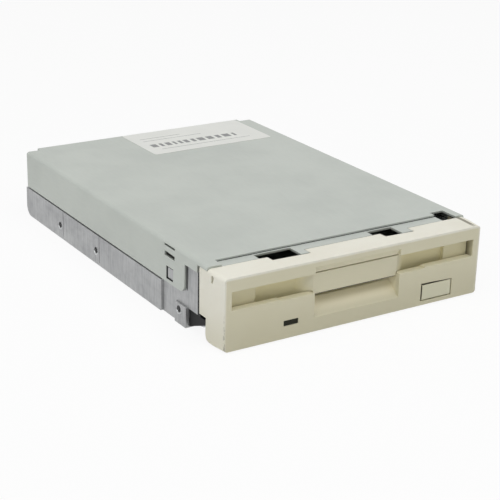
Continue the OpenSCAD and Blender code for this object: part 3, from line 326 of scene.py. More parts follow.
@dataclass(frozen=True)
class Casting:
    """Die-cast metal with flow marks, fine upright streaks, a rough skin, and painted shade at its front
    edge and on the wall behind the cover's louvre.
    """

    colour: Colour
    dark: Colour
    metallic: float = 0.7
    roughness: float = 0.46
    # Painted shade: dark colour for the front edge by the bezel gap and the wall behind the louvre, with
    # where those bands lie.
    gap_shade: Colour = srgb(34, 33, 32)
    flow: float = 14.0
    streak: float = 0.7
    blotch: float = 2.6
    pore: float = 0.35
    relief: float = 0.03
    seam: float = 16.6
    louvre_low: float = 19.7
    louvre_front: float = 27.0
    louvre_back: float = 39.0
    blur: float = 1.0

    def make(self, name: str) -> Material:
        """Builds the casting's nodes.

        Args:
            name: The material's name.

        Returns:
            The material.
        """
        board = ShaderBoard(name)
        flow = board.noise(self.flow, 4.0, (1.0, 0.6, 1.0))
        streak = board.noise(self.streak, 3.0, (1.0, 1.0, 0.1))
        blotch = board.noise(self.blotch, 4.0, (1.0, 0.5, 1.0))
        skin = board.noise(self.pore, 3.0)
        share = flow.ramp(0.3, 0.72) * 0.4 + streak.ramp(0.4, 0.72) * 0.36 + blotch.ramp(0.45, 0.75) * 0.2
        _, along, up = board.axes()
        depth = along + DEPTH / 2
        # Painted shade: the wall behind the cover's louvre and the front edge by the bezel gap are darkened
        # where shade falls.
        beside = (depth.ramp(self.louvre_front, self.louvre_front + self.blur)
                  * depth.ramp(self.louvre_back, self.louvre_back - self.blur))
        behind = up.ramp(self.louvre_low - 0.4, self.louvre_low) * beside
        shaded = 1 - (1 - behind) * depth.ramp(self.seam - 0.2, self.seam + 0.1)
        tint = board.mix(shaded, board.mix(share, self.colour, self.dark), self.gap_shade)
        rough = self.roughness + (blotch - 0.5) * 0.16 + (skin - 0.5) * 0.1
        height = skin * 0.6 + blotch * 0.3 + streak * 0.3
        return board.finish(Base_Color=tint, Metallic=self.metallic, Roughness=rough,
                            Normal=board.bump(height, self.relief, 0.6))


@dataclass(frozen=True)
class Moulding:
    """Moulded plastic with an eroded texture and uneven ageing."""

    colour: Colour
    aged: Colour
    roughness: float = 0.5
    texture: float = 0.22
    depth: float = 0.012
    coat: float = 0.0
    gloss: float = 0.5
    patch: float = 16.0
    spot: float = 1.8

    def make(self, name: str) -> Material:
        """Builds the plastic's nodes.

        Args:
            name: The material's name.

        Returns:
            The material.
        """
        board = ShaderBoard(name)
        ageing = board.noise(self.patch, 3.0)
        grime = board.noise(self.spot, 3.0).ramp(0.6, 0.78)
        skin = board.noise(self.texture, 2.0)
        plain = board.mix(ageing.ramp(0.3, 0.75) * 0.7 + grime * 0.18, self.colour, self.aged)
        rough = self.roughness + (skin - 0.5) * 0.14 + grime * 0.08
        return board.finish(Base_Color=self.tint(board, plain, ageing), Roughness=rough,
                            Coat_Weight=self.coat, Specular_IOR_Level=self.gloss,
                            Normal=board.bump(skin, self.depth, 0.5))

    def tint(self, board: ShaderBoard, plain: Wire, ageing: Wire) -> Wire:
        """The colour that shows, which is the plain one unless a finish adds wear, painted shade or painted
        light to it.
        """
        return plain


@dataclass(frozen=True)
class AgedFront(Moulding):
    """Bezel plastic whose face is yellower and darker than its flanks, partly yellowing and partly painted
    shade, with painted light in its hollows and painted shade along some edges.
    """

    # Face colour: partly yellowing, partly painted shade of the face that turns away from the top light.
    face: Colour = srgb(215, 210, 183)
    half: float = 50.0
    top: float = 24.2
    fade: float = 0.8
    # Darker tone towards the bottom.
    low_tone: Colour = srgb(203, 198, 171)
    low_tone_height: Span = (16.0, 2.0)
    scuff: float = 0.9
    scuff_reach: Span = (49.5, 50.3)
    scuff_depth: Span = (0.9, 0.2)
    scuff_share: float = 0.6
    # Painted light: a lighter colour in the hollows, with the depths it fades in over.
    hollow_light: Optional[Colour] = None
    hollow_light_depth: Span = (0.4, 3.6)
    # Painted shade bands: outside a clean window near the front, below a height along an edge, and at the
    # slot's end.
    rim_depth: Span = (2.4, 1.2)
    rim: Optional[Window] = None
    edge: Optional[Span] = None
    slot_end: Optional[Span] = None
    slot_shade: Span = (0.35, 0.4)
    slot_lip: Span = (0.2, 0.6)
    slot_deep: Span = (0.5, 3.2)
    # Dark colour for dirt on the scuffs and for the painted shade bands.
    dirt_and_shade: Colour = srgb(66, 61, 50)

    def tint(self, board: ShaderBoard, plain: Wire, ageing: Wire) -> Wire:
        """Yellows and darkens the face, partly as painted shade, darkens it towards the bottom, lightens
        hollows as painted light, scuffs the corners and lays painted shade along edges and ends.

        Args:
            board: The material's nodes.
            plain: Colour of the plastic without wear.
            ageing: The noise that the ageing follows.

        Returns:
            The colour that shows.
        """
        across, along, up = board.axes()
        depth = along + DEPTH / 2
        # Painted shade and yellowing: the face inside the outline takes the darker, yellower face colour.
        inner = (across * across).ramp(self.half ** 2, (self.half - self.fade) ** 2)
        face = inner * up.ramp(self.top, self.top - self.fade) * (0.85 + ageing * 0.3)
        # Darker towards the bottom, on the face fully and on the flanks by half.
        low = up.ramp(*self.low_tone_height)
        front = board.mix(low, self.face, self.low_tone)
        # Painted light: deeper hollows take a lighter colour that offsets their shade.
        if self.hollow_light:
            front = board.mix(depth.ramp(*self.hollow_light_depth), front, self.hollow_light)
        tint = board.mix(face, board.mix(low * 0.5, plain, self.low_tone), front)
        corner = (across * across).ramp(*(reach ** 2 for reach in self.scuff_reach))
        scuffs = board.noise(self.scuff, 4.0).ramp(0.42, 0.64) * corner * depth.ramp(*self.scuff_depth)
        tint = board.mix(scuffs * low * self.scuff_share, tint, self.dirt_and_shade)
        # Painted shade: a dark band outside the clean window near the front, which on the button falls on
        # its left and top.
        if self.rim:
            left, right, foot, head = self.rim
            clean = across.above(left) * across.below(right) * up.above(foot) * up.below(head)
            tint = board.mix((1 - clean) * depth.ramp(*self.rim_depth), tint, self.dirt_and_shade)
        # Painted shade: a dark band below the given height near the front, along the flap's lower edge.
        if self.edge:
            height, reach = self.edge
            tint = board.mix(up.below(height) * depth.below(reach), tint, self.dirt_and_shade)
        # Painted shade: darkening at the slot's end wall, stronger deeper in.
        if self.slot_end:
            start, end = self.slot_end
            wall = across.above(start) * across.below(end) * depth.ramp(*self.slot_lip)
            least, more = self.slot_shade
            tint = board.mix(wall * (least + depth.ramp(*self.slot_deep) * more), tint, self.dirt_and_shade)
        return tint


@dataclass(frozen=True)
class Sticker:
    """Matt paper with plain grey rules and blocks, measured from its front left corner."""

    paper: Colour
    ink: Colour
    corner: Span
    bars: Tuple[Window, ...]
    roughness: float = 0.62
    fibre: float = 0.5
    patch: float = 12.0
    dim: float = 0.9
    relief: float = 0.006

    def make(self, name: str) -> Material:
        """Builds the paper's nodes.

        Args:
            name: The material's name.

        Returns:
            The material.
        """
        board = ShaderBoard(name)
        across, along, _ = board.axes()
        fibre = board.noise(self.fibre, 3.0)
        printed: Value = 0.0
        for left, right, front, back in self.bars:
            inside = (across.above(self.corner[0] + left) * across.below(self.corner[0] + right)
                      * along.above(self.corner[1] + front) * along.below(self.corner[1] + back))
            printed = inside + printed
        faded = printed * (0.75 + fibre * 0.2)
        shade = tuple(self.dim * part for part in self.paper)
        paper = board.mix(board.noise(self.patch).ramp(0.3, 0.7) * 0.35, self.paper, shade)
        tint = board.mix(faded, paper, self.ink)
        return board.finish(Base_Color=tint, Roughness=self.roughness + (fibre - 0.5) * 0.1,
                            Normal=board.bump(fibre, self.relief, 0.4))


@dataclass(frozen=True)
class SolderMask:
    """Green circuit board with copper tracks, pads and plated holes under the mask."""

    mask: Colour
    track: Colour
    pad: Colour
    pitch: float = 1.27
    hole: Colour = (0.01, 0.01, 0.01)
    roughness: float = 0.34
    area: float = 11.0
    group: float = 7.0
    cell: float = 1.9
    cloth: float = 0.4
    track_reach: float = 0.16
    pad_reach: float = 0.32
    hole_reach: float = 0.06
    relief: float = 0.03

    def make(self, name: str) -> Material:
        """Builds the board's nodes.

        Args:
            name: The material's name.

        Returns:
            The material.
        """
        board = ShaderBoard(name)
        across, along, _ = board.axes()
        lanes = (across.wave(self.pitch) - 0.5) * 2
        rows = (along.wave(self.pitch) - 0.5) * 2
        lengthways = board.noise(self.area, 1.0).above(0.52)
        tracks = ((lanes * lanes).below(self.track_reach) * lengthways
                  + (rows * rows).below(self.track_reach) * (1 - lengthways))
        spread = lanes * lanes + rows * rows
        fitted = board.noise(self.group, 1.0, EVEN, (0, 0, 0.9)).above(0.55)
        cells = board.noise(self.cell, 0.0, EVEN, (0, 0, 0.4)).above(0.66) * fitted
        pads = spread.below(self.pad_reach) * cells
        holes = spread.below(self.hole_reach) * cells
        tint = board.mix(pads, board.mix(tracks * 0.7, self.mask, self.track), self.pad)
        tint = board.mix(holes, tint, self.hole)
        cloth = board.noise(self.cloth, 1.0)
        rough = self.roughness - pads * 0.05 + cloth * 0.06
        height = tracks * 0.6 + pads + cloth * 0.2
        return board.finish(Base_Color=tint, Metallic=pads * 0.85, Roughness=rough,
                            Normal=board.bump(height, self.relief, 0.6))


@dataclass(frozen=True)
class Stripes:
    """Film, wire or lamination that shows fine parallel lines."""

    colour: Colour
    line: Colour
    pitch: float
    axis: int
    metallic: float
    roughness: float
    spot: float = 3.0
    groove: float = 0.45
    relief: float = 0.15

    def make(self, name: str) -> Material:
        """Builds the striped nodes.

        Args:
            name: The material's name.

        Returns:
            The material.
        """
        board = ShaderBoard(name)
        lanes = (board.axes()[self.axis].wave(self.pitch) - 0.5) * 2
        ridge = 1 - lanes * lanes
        spots = board.noise(self.spot, 3.0)
        tint = board.mix(ridge.below(self.groove) * 0.8 + spots * 0.25, self.colour, self.line)
        rough = self.roughness + (spots - 0.5) * 0.2
        return board.finish(Base_Color=tint, Metallic=self.metallic, Roughness=rough,
                            Normal=board.bump(ridge, self.pitch * self.relief, 0.7))


BAR_ROW = ((4.0, 2.6), (7.8, 1.4), (10.4, 2.2), (13.8, 1.1), (16.2, 1.4), (18.6, 2.0),
           (22.0, 1.6), (24.8, 3.0), (29.0, 2.8), (33.2, 2.0), (36.4, 3.2), (41.0, 1.2))
RULES = ((4.0, 30.0, 17.2, 17.5), (4.0, 22.0, 20.2, 20.5), (6.0, 46.0, 5.2, 5.5))
BAR_HEIGHT = (8.6, 12.4)
LABEL_BARS = tuple((left, left + width, *BAR_HEIGHT) for left, width in BAR_ROW) + RULES
CREAM = (srgb(235, 233, 220), srgb(228, 224, 209))


class Coat(Enum):
    """The finishes that the drive's pieces are dressed in."""

    # The cover's window marks the clip opening, whose cut edges get painted shade.
    COVER = Sheet(srgb(190, 195, 188), srgb(181, 186, 180), 0.35, 0.44, 26.0, 0.3, (1.0, 0.05, 1.0), 0.006,
                  window=(30.6, 35.5, 12.6, 17.3))
    FRAME = Casting(srgb(184, 185, 185), srgb(136, 137, 139))
    # Bezel, button and flap: the darker face colours are partly painted shade, the lighter hollow colours
    # are painted light, and the rim, edge and slot end settings add painted shade.
    BEZEL = AgedFront(*CREAM, hollow_light=srgb(240, 233, 205), slot_end=(47.2, 48.6), dirt_and_shade=srgb(74, 66, 36))
    BUTTON = AgedFront(*CREAM, face=srgb(217, 213, 186), low_tone=srgb(210, 208, 183),
                       rim=(26.75, 40.0, 1.0, 7.35), dirt_and_shade=srgb(70, 65, 53))
    FLAP = AgedFront(*CREAM, edge=(12.65, 1.9), hollow_light=srgb(232, 224, 183), hollow_light_depth=(1.6, 4.6))
    STICKER = Sticker(srgb(232, 233, 228), srgb(116, 118, 118), (-9.0, DEPTH / 2 - 28.8), LABEL_BARS)
    LENS = Moulding(srgb(40, 41, 29), srgb(34, 35, 25), 0.35, 0.6, 0.003, 0.0, 0.12)
    LAMP = Moulding(srgb(150, 190, 90), srgb(140, 180, 84), 0.2, 0.6, 0.003, 0.5)
    BLACK = Moulding(srgb(14, 14, 15), srgb(22, 22, 22), 0.5, 0.25, 0.02, 0.0, 0.2)
    # Dark material of the strip that stands for painted shade at the cover's lip step.
    SEAM = Moulding(srgb(30, 32, 32), srgb(46, 48, 48), 0.8, 0.25, 0.02)
    IVORY = Moulding(srgb(232, 228, 214), srgb(222, 216, 196), 0.42)
    GREY = Moulding(srgb(84, 85, 88), srgb(70, 71, 74), 0.45, 0.3, 0.015)
    BOARD = SolderMask(srgb(22, 92, 54), srgb(48, 128, 78), srgb(206, 200, 184))
    CHIP = Moulding(srgb(40, 40, 43), srgb(52, 52, 55), 0.55, 0.15, 0.015)
    SLEEVE = Moulding(srgb(30, 38, 82), srgb(24, 30, 66), 0.3, 0.8, 0.004, 0.3)
    STEEL = Sheet(srgb(208, 209, 211), srgb(176, 177, 180), 0.95, 0.26, 12.0, 0.2, EVEN, 0.004)
    SHEET = Sheet(srgb(200, 202, 202), srgb(172, 174, 175), 0.9, 0.36, 18.0, 0.28, (1.0, 0.08, 1.0), 0.006)
    BRONZE = Sheet(srgb(190, 160, 104), srgb(160, 130, 82), 0.85, 0.42, 6.0, 0.15, EVEN, 0.01)
    GOLD = Sheet(srgb(222, 190, 116), srgb(200, 164, 92), 0.95, 0.24, 6.0, 0.2, EVEN, 0.003)
    COPPER = Stripes(srgb(196, 120, 72), srgb(120, 62, 34), 0.22, 1, 0.8, 0.3)
    LAMINATION = Stripes(srgb(140, 143, 148), srgb(92, 95, 100), 0.35, 2, 0.8, 0.42)
    MAGNET = Moulding(srgb(62, 62, 66), srgb(50, 50, 54), 0.5, 0.2, 0.02)
    CERAMIC = Moulding(srgb(216, 204, 176), srgb(204, 190, 160), 0.25, 0.5, 0.004, 0.2)
    FILM = Stripes(srgb(206, 140, 62), srgb(150, 84, 30), 0.5, 1, 0.0, 0.3)
    SOLDER = Sheet(srgb(200, 200, 198), srgb(170, 170, 168), 0.95, 0.3, 2.0, 0.3, EVEN, 0.01)


class Wardrobe:
    """Makes each finish once and hands it out."""

    def __init__(self) -> None:
        """Starts with nothing made."""
        self.made: Dict[Coat, Material] = {}

    def get(self, coat: Coat) -> Material:
        """The material of a finish.

        Args:
            coat: The finish.

        Returns:
            Its material, made at the first call.
        """
        if coat not in self.made:
            self.made[coat] = coat.value.make(coat.name.lower())
        return self.made[coat]

    def dress(self, piece: Piece, coat: Coat) -> None:
        """Gives a piece one finish all over."""
        piece.data.materials.clear()
        piece.data.materials.append(self.get(coat))


WARDROBE = Wardrobe()


def pick_only(piece: Piece) -> None:
    """Selects one object alone and makes it active.

    Args:
        piece: The object.
    """
    bpy.ops.object.select_all(action="DESELECT")
    piece.select_set(True)
    bpy.context.view_layer.objects.active = piece


@contextmanager
def whole_mesh(piece: Piece) -> Iterator[None]:
    """Edit mode with all of a piece's mesh selected.

    Args:
        piece: The piece.

    Yields:
        Nothing, while edit mode is on.
    """
    pick_only(piece)
    bpy.ops.object.mode_set(mode="EDIT")
    bpy.ops.mesh.select_all(action="SELECT")
    yield
    bpy.ops.object.mode_set(mode="OBJECT")


class Shop:
    """Modelling steps that several pieces share, all in millimetres."""

    @staticmethod
    def add(name: str, maker: Callable[..., object], **settings: Setting) -> Piece:
        """New primitive with its place in its mesh.

        Args:
            name: The piece's name.
            maker: The operator that adds it.
            settings: The operator's settings.

        Returns:
            The piece.
        """
        bpy.ops.object.select_all(action="DESELECT")
        maker(**settings)
        return Shop.place(bpy.context.active_object, name)

    @staticmethod
    def rod(name: str, radius: float, length: float, sides: int) -> Piece:
        """Round bar that stands on the origin along Z."""
        return Shop.add(name, bpy.ops.mesh.primitive_cylinder_add, vertices=sides, radius=radius * MM,
                        depth=length * MM, location=(0, 0, length * MM / 2))

    @staticmethod
    def block(name: str, size: Sequence[float], centre: Sequence[float] = (0, 0, 0)) -> Piece:
        """Block of a size about a centre."""
        return Shop.add(name, bpy.ops.mesh.primitive_cube_add, size=1,
                        location=[part * MM for part in centre], scale=[part * MM for part in size])

    @staticmethod
    def place(piece: Piece, name: str, spot: Optional[Sequence[float]] = None,
              turn: Sequence[float] = UNTURNED) -> Piece:
        """Names a piece, turns it in degrees, moves it and puts its place into its mesh.

        Args:
            piece: The piece.
            name: Its name.
            spot: Where its origin goes: across, depth behind the bezel's front and height. None to stay.
            turn: Turns about X, Y and Z.

        Returns:
            The piece, at the origin.
        """
        piece.name = name
        piece.data.name = name
        if spot is not None:
            piece.rotation_euler = [math.radians(part) for part in turn]
            piece.location = (spot[0] * MM, row_y(spot[1]), spot[2] * MM)
        pick_only(piece)
        bpy.ops.object.transform_apply(location=True, rotation=True, scale=True)
        return piece

    @staticmethod
    def twin(piece: Piece) -> Piece:
        """Copy with a mesh of its own.

        Args:
            piece: The piece that is copied.

        Returns:
            The copy.
        """
        copy = piece.copy()
        copy.data = piece.data.copy()
        bpy.context.scene.collection.objects.link(copy)
        return copy

    @staticmethod
    def apply(piece: Piece, kind: str, **settings: Setting) -> None:
        """Adds a modifier, sets it and applies it.

        Args:
            piece: The piece.
            kind: The modifier's type.
            settings: The modifier's settings.
        """
        pick_only(piece)
        step = piece.modifiers.new("step", kind)
        for key, value in settings.items():
            setattr(step, key, value)
        bpy.ops.object.modifier_apply(modifier=step.name)

    @staticmethod
    def repeat(piece: Piece, count: int, step: Sequence[float]) -> None:
        """Repeats a piece in even steps."""
        Shop.apply(piece, "ARRAY", count=count, use_relative_offset=False, use_constant_offset=True,
                   constant_offset_displace=[part * MM for part in step])

    @staticmethod
    def smooth(piece: Piece, angle: float = SMOOTH) -> None:
        """Smooths the round faces and keeps edges past the angle sharp."""
        pick_only(piece)
        bpy.ops.object.shade_smooth_by_angle(angle=math.radians(angle))

    @staticmethod
    def cut(piece: Piece, cutter: Piece) -> None:
        """Takes a cutter out of a piece and throws the cutter away."""
        Shop.apply(piece, "BOOLEAN", operation="DIFFERENCE", object=cutter, solver="EXACT")
        bpy.data.objects.remove(cutter)

    @staticmethod
    def join(name: str, pieces: Sequence[Piece]) -> Piece:
        """One object of several.

        Args:
            name: The joined piece's name.
            pieces: What is joined.

        Returns:
            The joined piece.
        """
        bpy.ops.object.select_all(action="DESELECT")
        for piece in pieces:
            piece.select_set(True)
        bpy.context.view_layer.objects.active = pieces[0]
        bpy.ops.object.join()
        return Shop.place(pieces[0], name)

    @staticmethod
    def pick_faces(piece: Piece, way: Spot) -> None:
        """Enters edit mode with the faces that look one way.

        Args:
            piece: The piece.
            way: The direction, one unit long.
        """
        pick_only(piece)
        bpy.ops.object.mode_set(mode="EDIT")
        bpy.ops.mesh.select_mode(type="FACE")
        bpy.ops.mesh.select_all(action="DESELECT")
        bpy.ops.object.mode_set(mode="OBJECT")
        for face in piece.data.polygons:
            face.select = face.normal.dot(Vector(way)) > FACING
        bpy.ops.object.mode_set(mode="EDIT")

    @staticmethod
    def draw_out(*moves: Sequence[float]) -> None:
        """Extrudes the picked faces through several moves and leaves edit mode.

        Args:
            moves: The moves, one after the other.
        """
        for move in moves:
            step = {"value": [part * MM for part in move]}
            bpy.ops.mesh.extrude_region_move(TRANSFORM_OT_translate=step)
        bpy.ops.object.mode_set(mode="OBJECT")

    @staticmethod
    def tidy(piece: Piece) -> None:
        """Merges doubles, closes holes, turns faces outwards and smooths the round ones.

        Args:
            piece: The piece.
        """
        with whole_mesh(piece):
            bpy.ops.mesh.remove_doubles(threshold=TINY)
            bpy.ops.mesh.fill_holes(sides=0)
            bpy.ops.mesh.normals_make_consistent(inside=False)
        Shop.smooth(piece)


def settle(piece: Piece, body: str, slot: str, coat: Coat, *nodes: str) -> Piece:
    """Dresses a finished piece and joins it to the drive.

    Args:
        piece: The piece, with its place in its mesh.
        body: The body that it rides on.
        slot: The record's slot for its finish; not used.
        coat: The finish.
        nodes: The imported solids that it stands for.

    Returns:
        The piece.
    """
    WARDROBE.dress(piece, coat)
    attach(piece, body)
    if nodes:
        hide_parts(*nodes)
    LOG.info("%s on %s", piece.name, body)
    return piece


@dataclass
class SoftEdges:
    """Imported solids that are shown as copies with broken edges."""

    node: str
    slot: str
    coat: Coat
    width: float
    body: str = "frame"
    segments: int = 2
    merge: float = 0.001
    flat: float = 1.0
    spare: float = 2.2
    least: float = 3.0

    def build(self) -> Piece:
        """Copies the solid, joins its triangles, breaks its edges and swaps it in.

        Returns:
            The copy, on its body.
        """
        source = frame["nodes"][self.node]
        piece = source.copy()
        piece.data = source.data.copy()
        piece.name = self.node + "_soft"
        piece.parent = None
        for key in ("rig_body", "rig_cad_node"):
            del piece[key]
        bpy.context.scene.collection.objects.link(piece)
        pick_only(piece)
        bpy.ops.mesh.customdata_custom_splitnormals_clear()
        with whole_mesh(piece):
            bpy.ops.mesh.remove_doubles(threshold=self.merge * MM)
            bpy.ops.mesh.dissolve_limited(angle_limit=math.radians(self.flat))
        self.weigh_edges(piece.data)
        Shop.apply(piece, "BEVEL", width=self.width * MM, segments=self.segments, limit_method="WEIGHT",
                   use_clamp_overlap=False)
        Shop.smooth(piece)
        Shop.apply(piece, "WEIGHTED_NORMAL", weight=100, keep_sharp=True)
        return settle(piece, self.body, self.slot, self.coat, self.node)

    def weigh_edges(self, mesh: bpy.types.Mesh) -> None:
        """Marks the edges that are sharp, long enough and far enough from their neighbours to be broken.

        Args:
            mesh: The copied solid's mesh, with its flat faces joined.
        """
        sides: Dict[Tuple[int, int], List[bpy.types.MeshPolygon]] = {}
        for face in mesh.polygons:
            for key in face.edge_keys:
                sides.setdefault(key, []).append(face)
        weights = mesh.attributes.new("bevel_weight_edge", "FLOAT", "EDGE")
        for edge in mesh.edges:
            first, second = (mesh.vertices[i].co for i in edge.vertices)
            faces = sides.get(edge.key, [])
            if len(faces) != 2 or (first - second).length < self.least * self.width * MM:
                continue
            if faces[0].normal.angle(faces[1].normal, 0.0) < math.radians(SMOOTH):
                continue
            if min(self.room(mesh, face, edge) for face in faces) > self.spare * self.width * MM:
                weights.data[edge.index].value = 1.0

    @staticmethod
    def room(mesh: bpy.types.Mesh, face: bpy.types.MeshPolygon, edge: bpy.types.MeshEdge) -> float:
        """Clear distance from an edge across one of its faces.

        Args:
            mesh: The mesh.
            face: The face.
            edge: One of the face's edges.

        Returns:
            The least distance to what bounds the face beside the edge.
        """
        corners = list(face.vertices)
        pairs = zip(corners, corners[1:] + corners[:1])
        start, end = next(pair for pair in pairs if set(pair) == set(edge.vertices))
        first, second = mesh.vertices[start].co, mesh.vertices[end].co
        along = (second - first).normalized()
        inward = face.normal.cross(along)
        length = (second - first).length
        offsets = [mesh.vertices[i].co - first for i in corners]
        spots = [(offset.dot(along) / length, offset.dot(inward)) for offset in offsets]
        clear = math.inf
        for (run, rise), (next_run, next_rise) in zip(spots, spots[1:] + spots[:1]):
            for share in (END, 0.5, 1 - END):
                if min(run, next_run) <= share <= max(run, next_run) and abs(next_run - run) > LEVEL:
                    height = rise + (share - run) / (next_run - run) * (next_rise - rise)
                    clear = min(clear, height if height > TINY else math.inf)
            if END < run < 1 - END and rise > TINY:
                clear = min(clear, rise)
        return clear


PLAIN_COATS: Dict[Coat, Tuple[str, ...]] = {
    Coat.STICKER: ("rating_label",),
    Coat.LAMP: ("led",),
    Coat.BOARD: ("motor_board", "main_board"),
    Coat.IVORY: ("switch_bodies", "ribbon_socket", "screw_follower", "protect_plunger", "density_plunger",
                 "disk_plunger"),
    Coat.GOLD: ("signal_pins",),
    Coat.STEEL: ("power_pins", "flap_pin", "flap_spring", "guide_rods", "slider_springs", "lever_post",
                 "lever_spring", "board_screws", "bracket_screws", "retainer_screw", "foot_screws",
                 "carrier_pins", "spindle_shaft", "drive_pin", "lead_screw", "arm_hinge_pin", "arm_spring"),
    Coat.CHIP: ("board_chips", "motor_chip", "track_zero_sensor", "index_sensor"),
    Coat.SLEEVE: ("capacitors",),
    Coat.BRONZE: ("spindle_bearing", "screw_bearing"),
    Coat.LAMINATION: ("stator_core",),
    Coat.COPPER: ("stator_coils",),
    Coat.SHEET: ("stepper_motor", "stepper_bracket", "rod_retainer", "eject_slider", "disk_carrier",
                 "rotor_cup", "chuck_hub", "head_arm"),
    Coat.MAGNET: ("rotor_magnet",),
    Coat.GREY: ("shutter_lever", "head_carriage"),
    Coat.CERAMIC: ("lower_head", "upper_head"),
    Coat.FILM: ("head_ribbon",),
}


@dataclass
class Casing:
    """Bezel, cover, frame and what shows of them from outside."""

    edges: List[SoftEdges] = field(default_factory=lambda: [
        SoftEdges("front_bezel", "bezel_plastic", Coat.BEZEL, 0.28),
        SoftEdges("slot_flap", "bezel_plastic", Coat.FLAP, 0.25, "flap"),
        SoftEdges("eject_button", "bezel_plastic", Coat.BUTTON, 0.4, "ejector", 3),
        SoftEdges("top_cover", "cover_steel", Coat.COVER, 0.12),
        SoftEdges("main_frame", "cast_frame", Coat.FRAME, 0.2),
        SoftEdges("front_feet", "black_plastic", Coat.BLACK, 0.25),
        SoftEdges("led_lens", "lens_plastic", Coat.LENS, 0.15),
        SoftEdges("signal_connector", "black_plastic", Coat.BLACK, 0.15),
        SoftEdges("power_connector", "white_plastic", Coat.IVORY, 0.15),
    ])

    def build(self) -> None:
        """Swaps in every soft-edged copy."""
        for item in self.edges:
            item.build()

    def dress(self) -> None:
        """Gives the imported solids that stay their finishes."""
        for coat, names in PLAIN_COATS.items():
            for name in names:
                WARDROBE.dress(frame["nodes"][name], coat)


def body_of(node: str) -> str:
    """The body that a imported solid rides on."""
    return frame["nodes"][node]["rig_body"]


@dataclass
class Coil:
    """Helical spring of round wire."""

    name: str
    node: str
    wire: float
    mean: float
    length: float
    turns: int
    spot: Spot
    turn: Spot
    sides: int = 10
    steps: int = 20

    def build(self) -> None:
        """Winds the wire along Z, then lays it where the spring is."""
        piece = Shop.add(self.name, bpy.ops.mesh.primitive_circle_add, vertices=self.sides,
                         radius=self.wire * MM, rotation=(math.pi / 2, 0, 0),
                         location=(self.mean * MM, 0, self.wire * MM))
        pitch = (self.length - 2 * self.wire) / self.turns
        Shop.apply(piece, "SCREW", axis="Z", steps=self.steps, render_steps=self.steps,
                   iterations=self.turns, screw_offset=pitch * MM)
        Shop.tidy(piece)
        Shop.place(piece, self.name, self.spot, self.turn)
        settle(piece, body_of(self.node), "steel", Coat.STEEL, self.node)


@dataclass
class CrossScrews:
    """Small screws with a domed head and a cross recess."""

    head_radius: float = 1.9
    head_height: float = 0.8
    shank_radius: float = 0.95
    shank: float = 2.4
    slot_length: float = 2.3
    slot_width: float = 0.5
    slot_depth: float = 0.5
    round_over: float = 0.32
    overcut: float = 0.01
    overlap: float = 0.1
    twist: float = 23.0
    sides: int = 32
    seats: Dict[str, Tuple[float, Tuple[Spot, ...]]] = field(default_factory=lambda: {
        "board_screws": (180, ((-38, 25.5, 4.8), (38, 25.5, 4.8), (-38, 75.5, 4.8), (38, 75.5, 4.8),
                               (-40, 92.5, 1.6), (-40, 132, 1.6), (40, 132, 1.6))),
        "foot_screws": (180, ((-46, 18, 2.6), (46, 18, 2.6))),
        "bracket_screws": (0, ((32, 109, 9.6), (32, 114.5, 9.6))),
        "retainer_screw": (-90, ((-1, 130, 6.8),)),
    })

    def model(self) -> Piece:
        """One screw that stands head up, with the underside of its head at the origin.

        Returns:
            The screw.
        """
        head = Shop.rod("screw_head", self.head_radius, self.head_height, self.sides)
        Shop.pick_faces(head, (0, 0, 1))
        bpy.ops.mesh.bevel(offset=self.round_over * MM, segments=3, affect="EDGES")
        bpy.ops.object.mode_set(mode="OBJECT")
        deep = self.head_height - self.slot_depth / 2 + self.overcut
        for size in ((self.slot_length, self.slot_width), (self.slot_width, self.slot_length)):
            Shop.cut(head, Shop.block("cutter", (*size, self.slot_depth), (0, 0, deep)))
        shank = Shop.rod("screw_shank", self.shank_radius, self.shank + self.overlap, self.sides // 2)
        for spot in shank.data.vertices:
            spot.co.z -= self.shank * MM
        return Shop.join("screw", [head, shank])

    def build(self) -> None:
        """Copies the screw to every seat."""
        pattern = self.model()
        Shop.smooth(pattern)
        for node, (tip, spots) in self.seats.items():
            for count, spot in enumerate(spots, 1):
                turn = (tip, 0, 0 if abs(tip) == 90 else self.twist * count)
                copy = Shop.place(Shop.twin(pattern), f"{node}_{count}", spot, turn)
                settle(copy, "frame", "steel", Coat.STEEL, node)
        bpy.data.objects.remove(pattern)


@dataclass
class HoleHighlights:
    """Painted highlights: bright metal crescents on the lower lips of the tapped side holes, standing for
    the light they catch.
    """

    depths: Tuple[float, ...] = (27.0, 87.0, 117.0)
    height: float = 5.0
    side: float = 50.8
    radius: float = 1.45
    wire: float = 0.34
    upper: float = 0.35
    squash: float = 0.6
    sharp: float = 60.0
    steps: int = 40
    sides: int = 12

    def build(self) -> None:
        """Flattens one ring, keeps its lower part and sets a copy under every hole."""
        pattern = Shop.add("hole_rim", bpy.ops.mesh.primitive_torus_add, major_segments=self.steps,
                           minor_segments=self.sides, major_radius=self.radius * MM,
                           minor_radius=self.wire * MM)
        with whole_mesh(pattern):
            bpy.ops.transform.resize(value=(1, 1, self.squash))
            bpy.ops.mesh.bisect(plane_co=(self.upper * MM, 0, 0), plane_no=(1, 0, 0), clear_inner=True,
                                use_fill=True)
        Shop.smooth(pattern, self.sharp)
        for name, side in (("left", -1), ("right", 1)):
            for count, depth in enumerate(self.depths, 1):
                rim = Shop.place(Shop.twin(pattern), f"{name}_hole_rim_{count}",
                                 (side * self.side, depth, self.height), (0, 90, 0))
                # The bright sheet metal on these crescents is a painted highlight.
                settle(rim, "frame", "cast_frame", Coat.SHEET)
        bpy.data.objects.remove(pattern)


